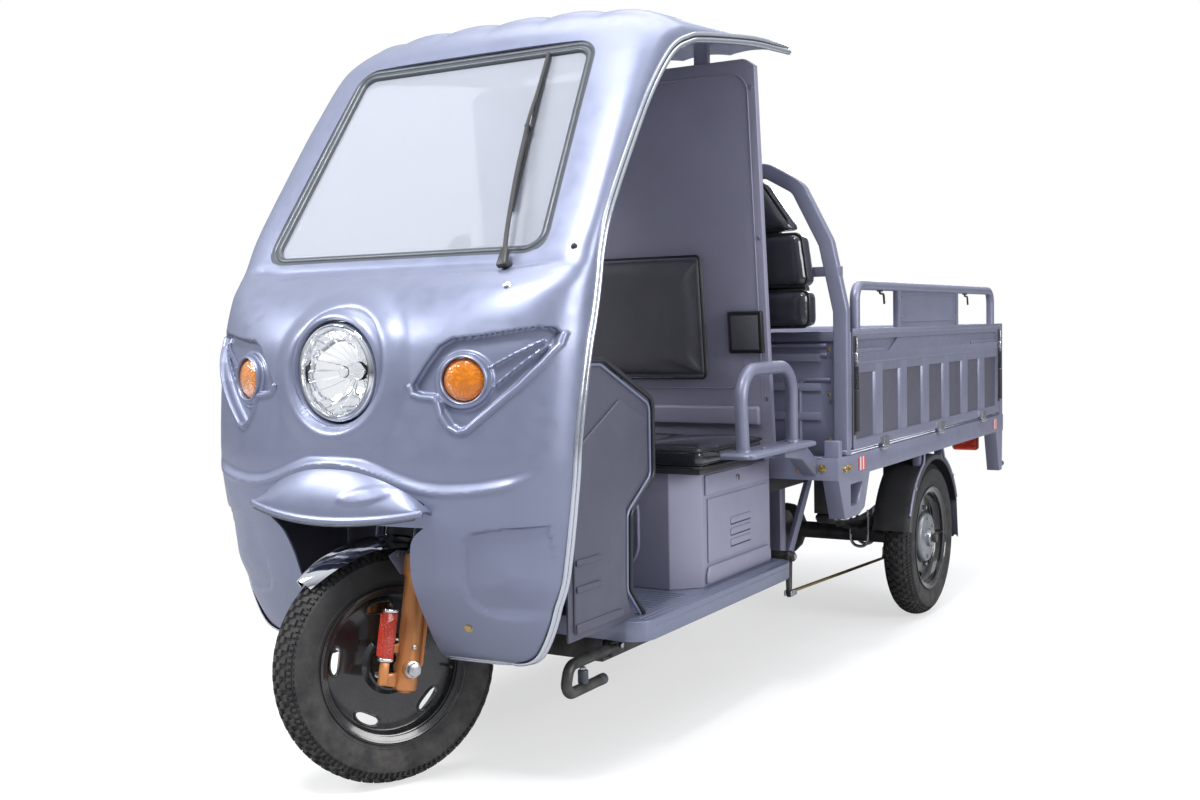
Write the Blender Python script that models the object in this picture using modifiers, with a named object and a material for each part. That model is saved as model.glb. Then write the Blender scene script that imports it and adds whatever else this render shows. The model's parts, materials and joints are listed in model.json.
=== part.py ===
"""Electric cargo tricycle: open-sided moulded cab, single steered front wheel, drop-side cargo bed.

Metres, +Z up, the front of the vehicle towards -Y, the driver's left towards +X.
Pieces are drawn with y measured back from the front axle; the empty "vehicle" shifts them all
so that the origin lies on the ground under the middle of the vehicle.
"""

import math

import bmesh
import bpy
from mathutils import Matrix, Vector

# Gaps
SEAT_GAP = 0.0003       # between pieces that bear on each other
PIN_GAP = 0.0005        # radial running clearance of a pin in its bore

# Wheels
WHEEL_BASE = 2.052
TRACK = 1.042
TYRE_RADIUS = 0.250
TYRE_HALF_WIDTH = 0.0475
CROWN_RADIUS = 0.055    # of the tread's cross-section
BEAD_RADIUS = 0.1515
FLANGE_RADIUS = 0.1665
RIM_HALF_WIDTH = 0.042
RIM_SHEET = 0.0035
AXLE_RADIUS = 0.010
WHEEL_STEPS = 24
RIM_STEPS = 18
HUB_HALF = 0.047
SLOT_COUNT = 5
PIPE_STEPS = 14         # facets of the fork's round pieces

# Steering
RAKE = math.radians(12.0)
STEER_REST = math.radians(-26.5)   # the bars stand turned to the rider's right
FORK_HALF_SPREAD = 0.098
LEG_RADIUS = 0.026
LEG_BOTTOM = -0.045
LEG_TOP = 0.235
FORK_TUBE_RADIUS = 0.0165
YOKE_BOTTOM = 0.315
YOKE_THICK = 0.030
UPPER_YOKE_BOTTOM = 0.500
UPPER_YOKE_THICK = 0.022
STEM_RADIUS = 0.0160
HEAD_TUBE_RADIUS = 0.027
BAR_HEIGHT = 0.790
BAR_RADIUS = 0.0125
BAR_HALF_WIDTH = 0.330
MIRROR_X = 0.118
FENDER_RADIUS = 0.270
FENDER_SHEET = 0.0025
FENDER_HALF_WIDTH = 0.058

# Cab
SHELL_SHEET = 0.005
GLASS_THICK = 0.005
GASKET_WIDTH = 0.024
GASKET_THICK = 0.016
HEADLIGHT_Y = -0.127
HEADLIGHT_Z = 0.875
HEADLIGHT_RADIUS = 0.1025
BEZEL_RADIUS = 0.129
SIGNAL_X = 0.288
SIGNAL_Y = -0.083
SIGNAL_Z = 0.859
SIGNAL_RADIUS = 0.0455
SIGNAL_PROUD = 0.010
SIGNAL_TURN = math.radians(17.3)
LAMP_STEPS = 16
ROOF_RIBS = 6
ROOF_RIB_HEIGHT = 0.010

# Floor, seat and rear panel
FLOOR_TOP = 0.315
FLOOR_BOTTOM = 0.270
FLOOR_HALF_WIDTH = 0.455
FLOOR_SHEET = 0.004
DASH_HALF_WIDTH = 0.405
DASH_SHEET = 0.005
DASH_FRONT = 0.085
SEAT_BOX_HALF_WIDTH = 0.400
SEAT_BOX_FRONT = 0.650
SEAT_BOX_REAR = 1.120
SEAT_BOX_TOP = 0.600
SEAT_BOX_SHEET = 0.005
SEAT_BOX_CORNER = 0.060
BATTERY_SIDE_ROOM = 0.120
BATTERY_END_ROOM = 0.090
BATTERY_HEIGHT = 0.220
SEAT_HALF_WIDTH = 0.440
SEAT_FRONT = 0.640
SEAT_REAR = 1.020
SEAT_THICK = 0.075
SEAT_PAN_THICK = 0.012
PANEL_HALF_WIDTH = SEAT_HALF_WIDTH
PANEL_THICK = 0.022
PANEL_TOP = 1.628
PANEL_LEAN = math.radians(5.5)
PANEL_FOOT_Y = SEAT_BOX_REAR - 0.062
BRACKET_ANGLE = math.radians(30)    # across the roof, at a valley between two of its ribs
SIDE_PAD_IN = 0.105     # from the rear panel's end to the side pad's inner edge
BACK_PAD_IN = SIDE_PAD_IN + 0.060

# Chassis
RAIL_X = 0.330
RAIL_WIDTH = 0.040
RAIL_HEIGHT = 0.050
LOW_RAIL_FRONT = 0.310
FLOOR_FRONT = LOW_RAIL_FRONT - 0.002
NECK_RADIUS = 0.022
NECK_Y = LOW_RAIL_FRONT - 0.016
CROSS_INSET = 0.001     # of the cross members and second posts inside the rails' faces
SECOND_POST = 0.110     # from the first post's front to the second's
BRACE_THICK = 0.008

# Cargo bed
BED_OVERHANG = 0.059    # of its sides beyond the wheels' middles
BED_HALF_WIDTH = TRACK / 2 + BED_OVERHANG
BED_FRONT = SEAT_BOX_REAR + 0.080
BED_REAR = 2.920
BED_LIP = 0.040         # how far the front beam reaches ahead of the rails' kick-up
FLOOR_REAR = BED_FRONT - BED_LIP
BED_BOTTOM = 0.534
BEAM_HEIGHT = 0.060
BEAM_WIDTH = 0.050
BED_SHEET = 0.003
BED_BAYS = 4            # between the cross beams
POST_SIZE = 0.040
HOOP_Y = BED_FRONT + 0.050
HOOP_FOOT = BED_HALF_WIDTH - POST_SIZE / 2
GATE_TOP = 0.937
GATE_GAP = 0.010
GATE_THICK = 0.022
HOOP_TOP = 1.070
HOOP_RADIUS = 0.0125
HINGE_RADIUS = 0.007
HINGE_OUT = HINGE_RADIUS + PIN_GAP      # from a beam's face to its gate's hinge axis
BUMPER_TIP = BED_REAR + 0.060
GUARD_IN = 0.066        # from the wheel's middle to the mudguard's inner edge
GUARD_OUT = 0.054
TAIL_LAMP_WIDTH = 0.100
TAIL_LAMP_IN = 0.085    # from the bed's side
GRAB_OUT = 0.060        # from the seat's end to the grab hoop

# Rear axle
SPRING_X = RAIL_X
SPRING_HALF_SPAN = 0.330
AXLE_TUBE_RADIUS = 0.028
DRUM_RADIUS = 0.085
BACKING_IN = 0.056      # the brake backing plate's distance inside the wheel's middle
BACKING_THICK = 0.006

BODY_BLUE = (0.245, 0.265, 0.40)
BLACK = (0.02, 0.02, 0.022)
DARK_STEEL = (0.05, 0.05, 0.055)
CHROME = (0.80, 0.81, 0.83)
GOLD = (0.46, 0.24, 0.07)


def clear_scene():
    for old in list(bpy.data.objects):
        bpy.data.objects.remove(old, do_unlink=True)


clear_scene()
PARTS = bpy.data.collections.new("electric_cargo_tricycle")
CUTTERS = bpy.data.collections.new("cutters")
bpy.context.scene.collection.children.link(PARTS)
bpy.context.scene.collection.children.link(CUTTERS)
MATERIALS = {}


def material(name, color, roughness=0.4, metallic=0.0):
    """One Principled material, made once."""
    if name not in MATERIALS:
        made = bpy.data.materials.new(name)
        made.use_nodes = True
        shader = made.node_tree.nodes["Principled BSDF"]
        shader.inputs["Base Color"].default_value = (*color, 1.0)
        shader.inputs["Roughness"].default_value = roughness
        shader.inputs["Metallic"].default_value = metallic
        MATERIALS[name] = made
    return MATERIALS[name]


PAINT = ("body_paint", BODY_BLUE, 0.35, 0.5)
PLASTIC = ("black_plastic", BLACK, 0.5, 0.0)
STEEL = ("dark_steel", DARK_STEEL, 0.45, 0.8)
BRIGHT = ("chrome", CHROME, 0.12, 1.0)
BRONZE = ("gold_paint", GOLD, 0.35, 0.7)
RUBBER = ("rubber", BLACK, 0.75, 0.0)
VINYL = ("black_vinyl", BLACK, 0.4, 0.0)
AMBER = ("amber_lens", (0.9, 0.32, 0.02), 0.2, 0.0)
RED = ("red_lens", (0.75, 0.06, 0.02), 0.2, 0.0)
GLASS = ("clear_glass", (0.80, 0.86, 0.90), 0.05, 0.0)


# Shape helpers: each returns a loose mesh object in the pieces' own frame

def from_bmesh(bm, name="shape"):
    bmesh.ops.recalc_face_normals(bm, faces=bm.faces)
    mesh = bpy.data.meshes.new(name)
    bm.to_mesh(mesh)
    bm.free()
    shape = bpy.data.objects.new(name, mesh)
    CUTTERS.objects.link(shape)
    return shape


def box(x, y, z):
    """A block between pairs of limits."""
    bm = bmesh.new()
    bmesh.ops.create_cube(bm, size=1.0)
    size = Matrix.Diagonal((x[1] - x[0], y[1] - y[0], z[1] - z[0], 1.0))
    middle = Matrix.Translation(((x[0] + x[1]) / 2, (y[0] + y[1]) / 2, (z[0] + z[1]) / 2))
    bmesh.ops.transform(bm, matrix=middle @ size, verts=bm.verts)
    return from_bmesh(bm)


def rod(start, end, radius, steps=16, end_radius=None):
    """A round bar or cone from one point to another."""
    start, end = Vector(start), Vector(end)
    along = end - start
    bm = bmesh.new()
    top = radius if end_radius is None else end_radius
    bmesh.ops.create_cone(bm, cap_ends=True, segments=steps, radius1=radius, radius2=top, depth=along.length)
    turn = along.to_track_quat("Z", "Y").to_matrix().to_4x4()
    bmesh.ops.transform(bm, matrix=Matrix.Translation((start + end) / 2) @ turn, verts=bm.verts)
    return from_bmesh(bm)


def ball(centre, radius, steps=16, scale=(1, 1, 1)):
    bm = bmesh.new()
    bmesh.ops.create_uvsphere(bm, u_segments=steps, v_segments=steps // 2, radius=radius)
    bmesh.ops.transform(bm, matrix=Matrix.Translation(centre) @ Matrix.Diagonal((*scale, 1.0)), verts=bm.verts)
    return from_bmesh(bm)


def as_mesh(source, weld=False):
    """The evaluated object as a plain mesh, a curve's loose caps welded, the source removed."""
    bpy.context.view_layer.update()
    depsgraph = bpy.context.evaluated_depsgraph_get()
    mesh = bpy.data.meshes.new_from_object(source.evaluated_get(depsgraph))
    mesh.transform(source.matrix_world)
    bm = bmesh.new()
    bm.from_mesh(mesh)
    if weld:
        bmesh.ops.remove_doubles(bm, verts=bm.verts, dist=0.00005)
    bpy.data.objects.remove(source, do_unlink=True)
    return from_bmesh(bm)


def bend_points(points, bend, steps):
    """A path's corners rounded by arcs of about the bend radius."""
    path = [Vector(p) for p in points]
    out = [path[0]]
    for before, corner, after in zip(path, path[1:], path[2:]):
        to_before = (before - corner).normalized()
        to_after = (after - corner).normalized()
        half = to_before.angle(to_after) / 2
        cut = min(bend / math.tan(half), (before - corner).length * 0.49, (after - corner).length * 0.49)
        radius = cut * math.tan(half)
        centre = corner + (to_before + to_after).normalized() * (radius / math.sin(half))
        first = corner + to_before * cut - centre
        last = corner + to_after * cut - centre
        sweep = first.angle(last)
        side = (last - first * math.cos(sweep)).normalized() * radius
        out += [centre + first * math.cos(sweep * k / steps) + side * math.sin(sweep * k / steps)
                for k in range(steps + 1)]
    return out + [path[-1]]


def tube(points, radius, bend=0.0, steps=5, sides=12, cyclic=False):
    """A round tube along a path; four sides give a square tube."""
    if bend:
        points = bend_points(points, bend, steps)
    curve = bpy.data.curves.new("path", "CURVE")
    curve.dimensions = "3D"
    spline = curve.splines.new("POLY")
    spline.points.add(len(points) - 1)
    for point, place in zip(spline.points, points):
        point.co = (*place, 1.0)
        if sides == 4:
            point.tilt = math.pi / 4
    spline.use_cyclic_u = cyclic
    curve.bevel_depth = radius
    curve.bevel_resolution = sides // 2 - 2 if sides > 4 else 0
    curve.use_fill_caps = True
    path = bpy.data.objects.new("path", curve)
    CUTTERS.objects.link(path)
    return as_mesh(path, weld=True)


def plate(outline, low, high, axis="x"):
    """A flat outline extruded between two levels along an axis; its points are the other two axes in order."""
    curve = bpy.data.curves.new("outline", "CURVE")
    curve.dimensions = "2D"
    curve.fill_mode = "BOTH"
    curve.extrude = (high - low) / 2
    spline = curve.splines.new("POLY")
    spline.points.add(len(outline) - 1)
    for point, place in zip(spline.points, outline):
        point.co = (place[0], place[1], 0.0, 1.0)
    spline.use_cyclic_u = True
    shape = bpy.data.objects.new("outline", curve)
    CUTTERS.objects.link(shape)
    middle = (low + high) / 2
    if axis == "x":
        shape.matrix_world = Matrix(((0, 0, 1, middle), (1, 0, 0, 0), (0, 1, 0, 0), (0, 0, 0, 1)))
    elif axis == "y":
        shape.matrix_world = Matrix(((1, 0, 0, 0), (0, 0, -1, middle), (0, 1, 0, 0), (0, 0, 0, 1)))
    else:
        shape.matrix_world = Matrix.Translation((0, 0, middle))
    return as_mesh(shape, weld=True)


def turned(profile, axis="x", steps=32, angle=2 * math.pi):
    """A profile of (radius, place along the axis) spun about an axis through the origin."""
    bm = bmesh.new()
    points = [bm.verts.new((radius, 0, along)) for radius, along in profile]
    for first, second in zip(points, points[1:]):
        bm.edges.new((first, second))
    mesh = bpy.data.meshes.new("profile")
    bm.to_mesh(mesh)
    bm.free()
    shape = bpy.data.objects.new("profile", mesh)
    CUTTERS.objects.link(shape)
    screw = shape.modifiers.new("spin", "SCREW")
    screw.angle = angle
    screw.steps = steps
    screw.render_steps = steps
    screw.use_merge_vertices = True
    screw.merge_threshold = 0.00001
    if axis == "x":
        shape.rotation_euler = (math.pi / 2, 0, math.pi / 2)
    elif axis == "y":
        shape.rotation_euler = (math.pi / 2, 0, 0)
    return as_mesh(shape, weld=True)


def ring_profile(profile):
    return [*profile, profile[0]]


def moved(shape, matrix):
    shape.data.transform(matrix)
    if matrix.determinant() < 0:
        shape.data.flip_normals()
    return shape


def copied(shape):
    twin = bpy.data.objects.new(shape.name, shape.data.copy())
    CUTTERS.objects.link(twin)
    return twin


def mirrored(shape):
    """The same shape on the other side of the vehicle's middle plane."""
    return moved(copied(shape), Matrix.Diagonal((-1, 1, 1, 1)))


def combine(base, others, operation, solver="EXACT"):
    """Booleans, one after another, used up into one mesh."""
    for other in others:
        step = base.modifiers.new("step", "BOOLEAN")
        step.operation = operation
        step.solver = solver
        step.object = other
    base = as_mesh(base)
    for other in others:
        bpy.data.objects.remove(other, do_unlink=True)
    return base


def joined(*shapes):
    return combine(shapes[0], shapes[1:], "UNION")


def cut(base, *tools):
    return combine(base, tools, "DIFFERENCE")


def both_sides(shape):
    return [shape, mirrored(shape)]


def rounded(shape, width, segments=1, angle=35):
    bevel = shape.modifiers.new("edges", "BEVEL")
    bevel.width = width
    bevel.segments = segments
    bevel.limit_method = "ANGLE"
    bevel.angle_limit = math.radians(angle)
    return as_mesh(shape)


def finish(name, shape, finish_of, parent, smooth=35):
    """Name a piece, give it its material and hang it on its body's empty."""
    shape.name = name
    shape.data.name = name
    shape.data.materials.clear()
    shape.data.materials.append(material(*finish_of))
    shape.data.shade_smooth()
    shape.data.set_sharp_from_angle(angle=math.radians(smooth))
    CUTTERS.objects.unlink(shape)
    PARTS.objects.link(shape)
    shape.parent = parent
    return shape


def empty(name, parent, matrix):
    mark = bpy.data.objects.new(name, None)
    PARTS.objects.link(mark)
    mark.parent = parent
    mark.matrix_local = matrix
    return mark


# Where the steered wheel stands

STEER_AXIS = Vector((0, math.sin(RAKE), math.cos(RAKE)))
LEAN = Matrix.Rotation(-RAKE, 4, "X")
STEER_TURN = Matrix.Rotation(STEER_REST, 4, STEER_AXIS)
WHEEL_AXIS = STEER_TURN @ LEAN @ Vector((1, 0, 0))


def tyre_reach(direction):
    """How far the steered tyre reaches from its centre in a direction."""
    across = WHEEL_AXIS.dot(Vector(direction))
    return (TYRE_RADIUS - CROWN_RADIUS) * math.sqrt(1 - across ** 2) + CROWN_RADIUS


FRONT_AXLE_Z = tyre_reach((0, 0, 1))
FRONT_REACH = tyre_reach((0, 1, 0))
FRONT_AXLE_Y = (FRONT_REACH - BUMPER_TIP) / 2

vehicle = empty("vehicle", None, Matrix.Translation((0, FRONT_AXLE_Y, 0)))
steering = empty("steering", vehicle, Matrix.Translation((0, 0, FRONT_AXLE_Z)) @ STEER_TURN @ LEAN)
front_wheel = empty("front_wheel", steering, Matrix.Identity(4))


# Wheels

def tyre_profile():
    """Half of the section from bead to crown, then its mirror."""
    side = [(BEAD_RADIUS, 0.034), (FLANGE_RADIUS + 0.003, 0.036), (0.204, TYRE_HALF_WIDTH),
            (0.226, TYRE_HALF_WIDTH - 0.003)]
    centre = TYRE_RADIUS - CROWN_RADIUS
    arc = [(centre + CROWN_RADIUS * math.cos(math.radians(a)), CROWN_RADIUS * math.sin(math.radians(a)))
           for a in (38, 19, 0)]
    half = side + arc
    return half + [(radius, -along) for radius, along in reversed(half[:-1])]


def make_tyre():
    return turned(ring_profile(tyre_profile()), "x", WHEEL_STEPS)


def make_rim(dish, hub_radius, cap_radius, drum_radius, drum_depth):
    """A pressed disc wheel turned in one piece: bored hub, dished disc, barrel, flanges and brake drum."""
    w = RIM_HALF_WIDTH
    low = BEAD_RADIUS - 0.0015
    inner = low - RIM_SHEET
    bead = w - 0.0055
    back = dish - 0.006
    bore = AXLE_RADIUS + PIN_GAP
    profile = [
        (bore, -HUB_HALF), (bore, HUB_HALF), (hub_radius * 0.7, HUB_HALF), (hub_radius, dish + 0.016),
        (cap_radius, dish + 0.014), (cap_radius + 0.004, dish + 0.002), (inner, dish + 0.006),
        (inner, w), (FLANGE_RADIUS, w), (low, bead), (low, -bead), (FLANGE_RADIUS, -w), (inner, -w),
        (inner, dish), (drum_radius, back), (drum_radius, -drum_depth), (drum_radius - 0.008, -drum_depth),
        (drum_radius - 0.008, back - 0.004), (hub_radius, back - 0.004), (hub_radius, -HUB_HALF)]
    shape = turned(ring_profile(profile), "x", RIM_STEPS)
    slots = []
    for index in range(SLOT_COUNT):
        middle = 2 * math.pi * (index + 0.5) / SLOT_COUNT
        outline = []
        for radius, sweep in ((0.134, 1), (0.112, -1)):
            for step in (-1.5, -0.5, 0.5, 1.5):
                around = middle + sweep * step * math.radians(9.0)
                outline.append((radius * math.cos(around), radius * math.sin(around)))
        slots.append(plate(outline, dish - 0.030, dish + 0.030, "x"))
    return cut(shape, *slots)


def make_wheels():
    finish("front_tyre", make_tyre(), RUBBER, front_wheel)
    finish("front_rim", make_rim(0.004, 0.030, 0.052, 0.070, 0.040), PLASTIC, front_wheel)
    spokes = make_rim(0.000, 0.030, 0.080, DRUM_RADIUS, 0.044)
    for side, name in ((1, "left"), (-1, "right")):
        place = Matrix.Translation((side * TRACK / 2, WHEEL_BASE, TYRE_RADIUS))
        wheel = empty("rear_wheel_" + name, vehicle, place)
        finish("rear_tyre_" + name, make_tyre(), RUBBER, wheel)
        rim = copied(spokes) if side > 0 else mirrored(spokes)
        finish("rear_rim_" + name, rim, PLASTIC, wheel)
    bpy.data.objects.remove(spokes, do_unlink=True)


# Fork, fender and handlebar, drawn upright about the wheel's centre

def make_fork():
    spread = FORK_HALF_SPREAD
    bore = AXLE_RADIUS + SEAT_GAP
    leg = joined(
        rod((spread, 0, LEG_BOTTOM), (spread, 0, LEG_TOP - 0.03), LEG_RADIUS * 0.92, PIPE_STEPS),
        rod((spread, 0, LEG_TOP - 0.045), (spread, 0, LEG_TOP), LEG_RADIUS + 0.003, PIPE_STEPS),
        box((spread - 0.014, spread + 0.014), (-0.062, 0.0), (-0.040, -0.012)),
        box((spread + 0.008, spread + 0.020), (-0.066, -0.046), (-0.036, 0.012)),
        rod((spread - 0.030, 0, 0), (spread + 0.030, 0, 0), 0.019, PIPE_STEPS),
    )
    leg = cut(leg, rod((spread - 0.05, 0, 0), (spread + 0.05, 0, 0), bore, PIPE_STEPS),
              rod((spread, 0, LEG_TOP - 0.06), (spread, 0, LEG_TOP + 0.01), FORK_TUBE_RADIUS + PIN_GAP, PIPE_STEPS))
    finish("fork_leg_right", mirrored(leg), BRONZE, steering)
    finish("fork_leg_left", leg, BRONZE, steering)
    nut = spread + 0.030 + SEAT_GAP
    axle = joined(rod((-nut - 0.004, 0, 0), (nut + 0.004, 0, 0), AXLE_RADIUS, PIPE_STEPS),
                  rod((nut, 0, 0), (nut + 0.012, 0, 0), 0.015, 6),
                  rod((-nut, 0, 0), (-nut - 0.012, 0, 0), 0.015, 6))
    finish("front_axle", axle, BRIGHT, steering)
    top = UPPER_YOKE_BOTTOM + UPPER_YOKE_THICK
    stanchion = rod((spread, 0, LEG_TOP - 0.055), (spread, 0, top + 0.006), FORK_TUBE_RADIUS, PIPE_STEPS)
    finish("fork_tube_right", mirrored(stanchion), BRIGHT, steering)
    finish("fork_tube_left", stanchion, BRIGHT, steering)

    fit = FORK_TUBE_RADIUS + SEAT_GAP
    reach = spread + 0.030
    yoke = joined(
        rounded(box((-reach, reach), (-0.030, 0.030), (YOKE_BOTTOM, YOKE_BOTTOM + YOKE_THICK)), 0.010),
        rod((0, 0, YOKE_BOTTOM + 0.005), (0, 0, UPPER_YOKE_BOTTOM + 0.10), STEM_RADIUS, PIPE_STEPS),
        box((-0.016, 0.016), (-0.022, 0.022), (FENDER_RADIUS + FENDER_SHEET + SEAT_GAP, YOKE_BOTTOM + 0.005)))
    yoke = cut(yoke, *both_sides(rod((spread, 0, YOKE_BOTTOM - 0.1), (spread, 0, YOKE_BOTTOM + 0.1), fit, PIPE_STEPS)))
    finish("fork_yoke", yoke, STEEL, steering)


def make_handlebar():
    spread = FORK_HALF_SPREAD
    reach = spread + 0.028
    low = UPPER_YOKE_BOTTOM
    high = low + UPPER_YOKE_THICK
    clamp = rounded(box((-reach, reach), (-0.026, 0.026), (low, high)), 0.008)
    clamp = cut(clamp, rod((0, 0, low - 0.1), (0, 0, high + 0.1), STEM_RADIUS + SEAT_GAP, PIPE_STEPS),
                *both_sides(rod((spread, 0, low - 0.1), (spread, 0, high + 0.1),
                                FORK_TUBE_RADIUS + SEAT_GAP, PIPE_STEPS)))
    bar = BAR_HALF_WIDTH
    path = [(bar, 0.170, BAR_HEIGHT + 0.020), (bar - 0.13, 0.135, BAR_HEIGHT + 0.035),
            (0.16, 0.02, BAR_HEIGHT), (-0.16, 0.02, BAR_HEIGHT),
            (-bar + 0.13, 0.135, BAR_HEIGHT + 0.035), (-bar, 0.170, BAR_HEIGHT + 0.020)]
    posts = both_sides(tube([(0.045, 0.012, high - 0.006), (0.045, 0.020, BAR_HEIGHT)], 0.012, sides=10))
    cluster = rounded(box((-0.085, 0.085), (-0.045, 0.035), (BAR_HEIGHT - 0.020, BAR_HEIGHT + 0.050)), 0.015)
    mirror_foot = BAR_HEIGHT + 0.022
    bosses = both_sides(rod((MIRROR_X, 0.020, BAR_HEIGHT), (MIRROR_X, 0.020, mirror_foot), 0.009, 8))
    shape = joined(clamp, *posts, tube(path, BAR_RADIUS, 0.05, 3, 8), cluster, *bosses)
    finish("handlebar", shape, PLASTIC, steering)
    for side, name in ((1, "left"), (-1, "right")):
        head = ball((0, 0, 0), 0.5, 12, (0.110, 0.030, 0.072))
        head = cut(head, box((-0.1, 0.1), (0.004, 0.1), (-0.1, 0.1)))
        place = Matrix.Translation((side * 0.170, 0.150, BAR_HEIGHT + 0.170))
        stalk = tube([(side * MIRROR_X, 0.020, mirror_foot + SEAT_GAP), (side * MIRROR_X, 0.020, BAR_HEIGHT + 0.09),
                      (side * 0.165, 0.146, BAR_HEIGHT + 0.160)], 0.005, 0.03, 3, 6)
        finish("mirror_" + name, joined(moved(head, place), stalk), PLASTIC, steering)


def make_front_fender():
    """A crowned arc over the tyre, from low in front to behind the fork."""
    ahead, behind = math.radians(54), math.radians(48)
    steps = 14
    across = 6
    bm = bmesh.new()
    rows = []
    for index in range(steps + 1):
        around = ahead - (ahead + behind) * index / steps
        end = max(0.0, 1 - index * 1.0 / 3)
        width = FENDER_HALF_WIDTH * math.sqrt(1 - 0.75 * end ** 2)
        row = []
        for k in range(across + 1):
            side = 2 * k / across - 1
            radius = FENDER_RADIUS - 0.022 * side ** 2
            row.append(bm.verts.new((width * side, -radius * math.sin(around), radius * math.cos(around))))
        rows.append(row)
    for first, second in zip(rows, rows[1:]):
        for k in range(across):
            bm.faces.new((first[k], first[k + 1], second[k + 1], second[k]))
    shape = from_bmesh(bm)
    wall = shape.modifiers.new("sheet", "SOLIDIFY")
    wall.thickness = FENDER_SHEET
    wall.offset = 1.0
    finish("front_fender", as_mesh(shape), BRIGHT, steering)


def make_reflectors():
    for side, name in ((1, "left"), (-1, "right")):
        out = FORK_HALF_SPREAD + 0.014
        lamp = rounded(box((out - 0.011, out + 0.011), (-0.074, -0.040), (0.0123, 0.120)), 0.006)
        lamp = moved(lamp, Matrix.Diagonal((side, 1, 1, 1)))
        finish("fork_reflector_" + name, lamp, RED, steering)


# Cab shell: rows of (centre y, centre z, half width, edge y, edge z, squareness)

SHELL_ROWS = (
    (0.020, 0.276, 0.300, 0.050, 0.276, 2.2),
    (-0.015, 0.300, 0.372, 0.040, 0.300, 2.2),
    (-0.085, 0.420, 0.425, 0.036, 0.420, 2.2),
    (-0.112, 0.500, 0.441, 0.040, 0.500, 2.2),
    (-0.137, 0.600, 0.456, 0.040, 0.600, 2.2),
    (-0.149, 0.688, 0.466, 0.041, 0.688, 2.2),
    (-0.140, 0.701, 0.465, 0.042, 0.701, 2.2),
    (-0.141, 0.760, 0.468, 0.045, 0.760, 2.2),
    (-0.124, 0.900, 0.474, 0.072, 0.900, 2.3),
    (-0.098, 0.970, 0.474, 0.096, 0.970, 2.5),
    (-0.050, 1.030, 0.474, 0.113, 1.030, 2.9),
    (0.010, 1.070, 0.473, 0.124, 1.070, 3.6),
    (0.052, 1.098, 0.472, 0.132, 1.100, 4.4),
    (0.110, 1.190, 0.470, 0.176, 1.195, 4.8),
    (0.245, 1.400, 0.462, 0.328, 1.400, 4.8),
    (0.305, 1.493, 0.460, 0.405, 1.490, 4.4),
    (0.358, 1.575, 0.460, 0.462, 1.545, 4.0),
    (0.395, 1.625, 0.460, 0.503, 1.572, 3.6),
    (0.450, 1.662, 0.460, 0.550, 1.590, 3.2),
    (0.530, 1.680, 0.460, 0.620, 1.608, 3.0),
    (0.880, 1.690, 0.460, 0.900, 1.648, 3.0),
    (1.060, 1.688, 0.460, 1.060, 1.661, 3.0),
    (1.150, 1.686, 0.458, 1.150, 1.668, 3.0),
)
SHELL_STEPS = 24
CREASE_ROWS = (5, 6)    # the wavy step across the nose lies between these rows
CREASE_DROP = 0.050
CREASE_DIP_X = 0.250    # where the wave lies lowest
RIBS_FROM = 17          # the first row that carries the roof's ribs


def shell_point(row, angle):
    centre_y, centre_z, half_width, edge_y, edge_z, square = row
    power = 2 / square
    side = math.copysign(abs(math.sin(angle)) ** power, angle)
    blend = 1 - abs(math.cos(angle)) ** power
    return Vector((half_width * side, centre_y + (edge_y - centre_y) * blend,
                   centre_z + (edge_z - centre_z) * blend))


def crease_drop(x):
    """How far the nose's wavy step lies below its middle."""
    across = abs(x) / CREASE_DIP_X
    if across < 1:
        return CREASE_DROP * math.sin(math.pi / 2 * across) ** 2
    return CREASE_DROP * math.cos(math.pi / 2 * (across - 1) * 1.16)


def roof_rib(place, share):
    """Height of the roof's rounded lengthwise ribs at a share of the way across it."""
    return place * ROOF_RIB_HEIGHT * abs(math.sin(math.pi * ROOF_RIBS * share))


GLASS_FOOT = Vector((0, 0.070, 1.100))
GLASS_UP = Vector((0, 0.543, 0.840)).normalized()
GLASS_OUT = Vector((0, -GLASS_UP.z, GLASS_UP.y))
GLASS_HEIGHT = 0.572
GLASS_LOW_HALF = 0.384
GLASS_HIGH_HALF = 0.335
GLASS_CORNER = 0.055
WIPER_FOOT = (GLASS_LOW_HALF - 0.079, -0.030)
WIPER_TIP = (GLASS_LOW_HALF - 0.169, GLASS_HEIGHT - 0.027)
WIPER_HEEL = (GLASS_LOW_HALF - 0.122, 0.115)
WIPER_SPINDLE = 0.011
GLASS_FRAME = Matrix((
    (1, 0, 0, 0),
    (0, GLASS_UP.y, GLASS_OUT.y, GLASS_FOOT.y),
    (0, GLASS_UP.z, GLASS_OUT.z, GLASS_FOOT.z),
    (0, 0, 0, 1)))


def screen_outline(inset):
    """The windscreen's rounded trapezium, in its own plane, moved in by an inset."""
    low, high = GLASS_LOW_HALF - inset, GLASS_HIGH_HALF - inset
    corners = [(-low, inset, 0), (low, inset, 0), (high, GLASS_HEIGHT - inset, 0), (-high, GLASS_HEIGHT - inset, 0)]
    loop = [*corners, corners[0], corners[1]]
    bent = bend_points(loop, GLASS_CORNER - inset, 4)
    return [(point.x, point.y) for point in bent[1:-1]][:20]


# Outline of the leaf-shaped recess round a signal lamp, seen from the front, clockwise: (x, z)
RECESS = ((0.180, 0.838), (0.208, 0.889), (0.250, 0.936), (0.318, 0.947), (0.418, 0.962), (0.448, 0.955),
          (0.452, 0.925), (0.396, 0.848), (0.302, 0.762), (0.268, 0.764), (0.240, 0.815), (0.205, 0.826))
RECESS_DEPTH = 0.009
RECESS_WALL = 0.004
NOSE_SPAN = (-0.200, 0.060)     # from ahead of the nose to behind its sides' roundings


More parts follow.
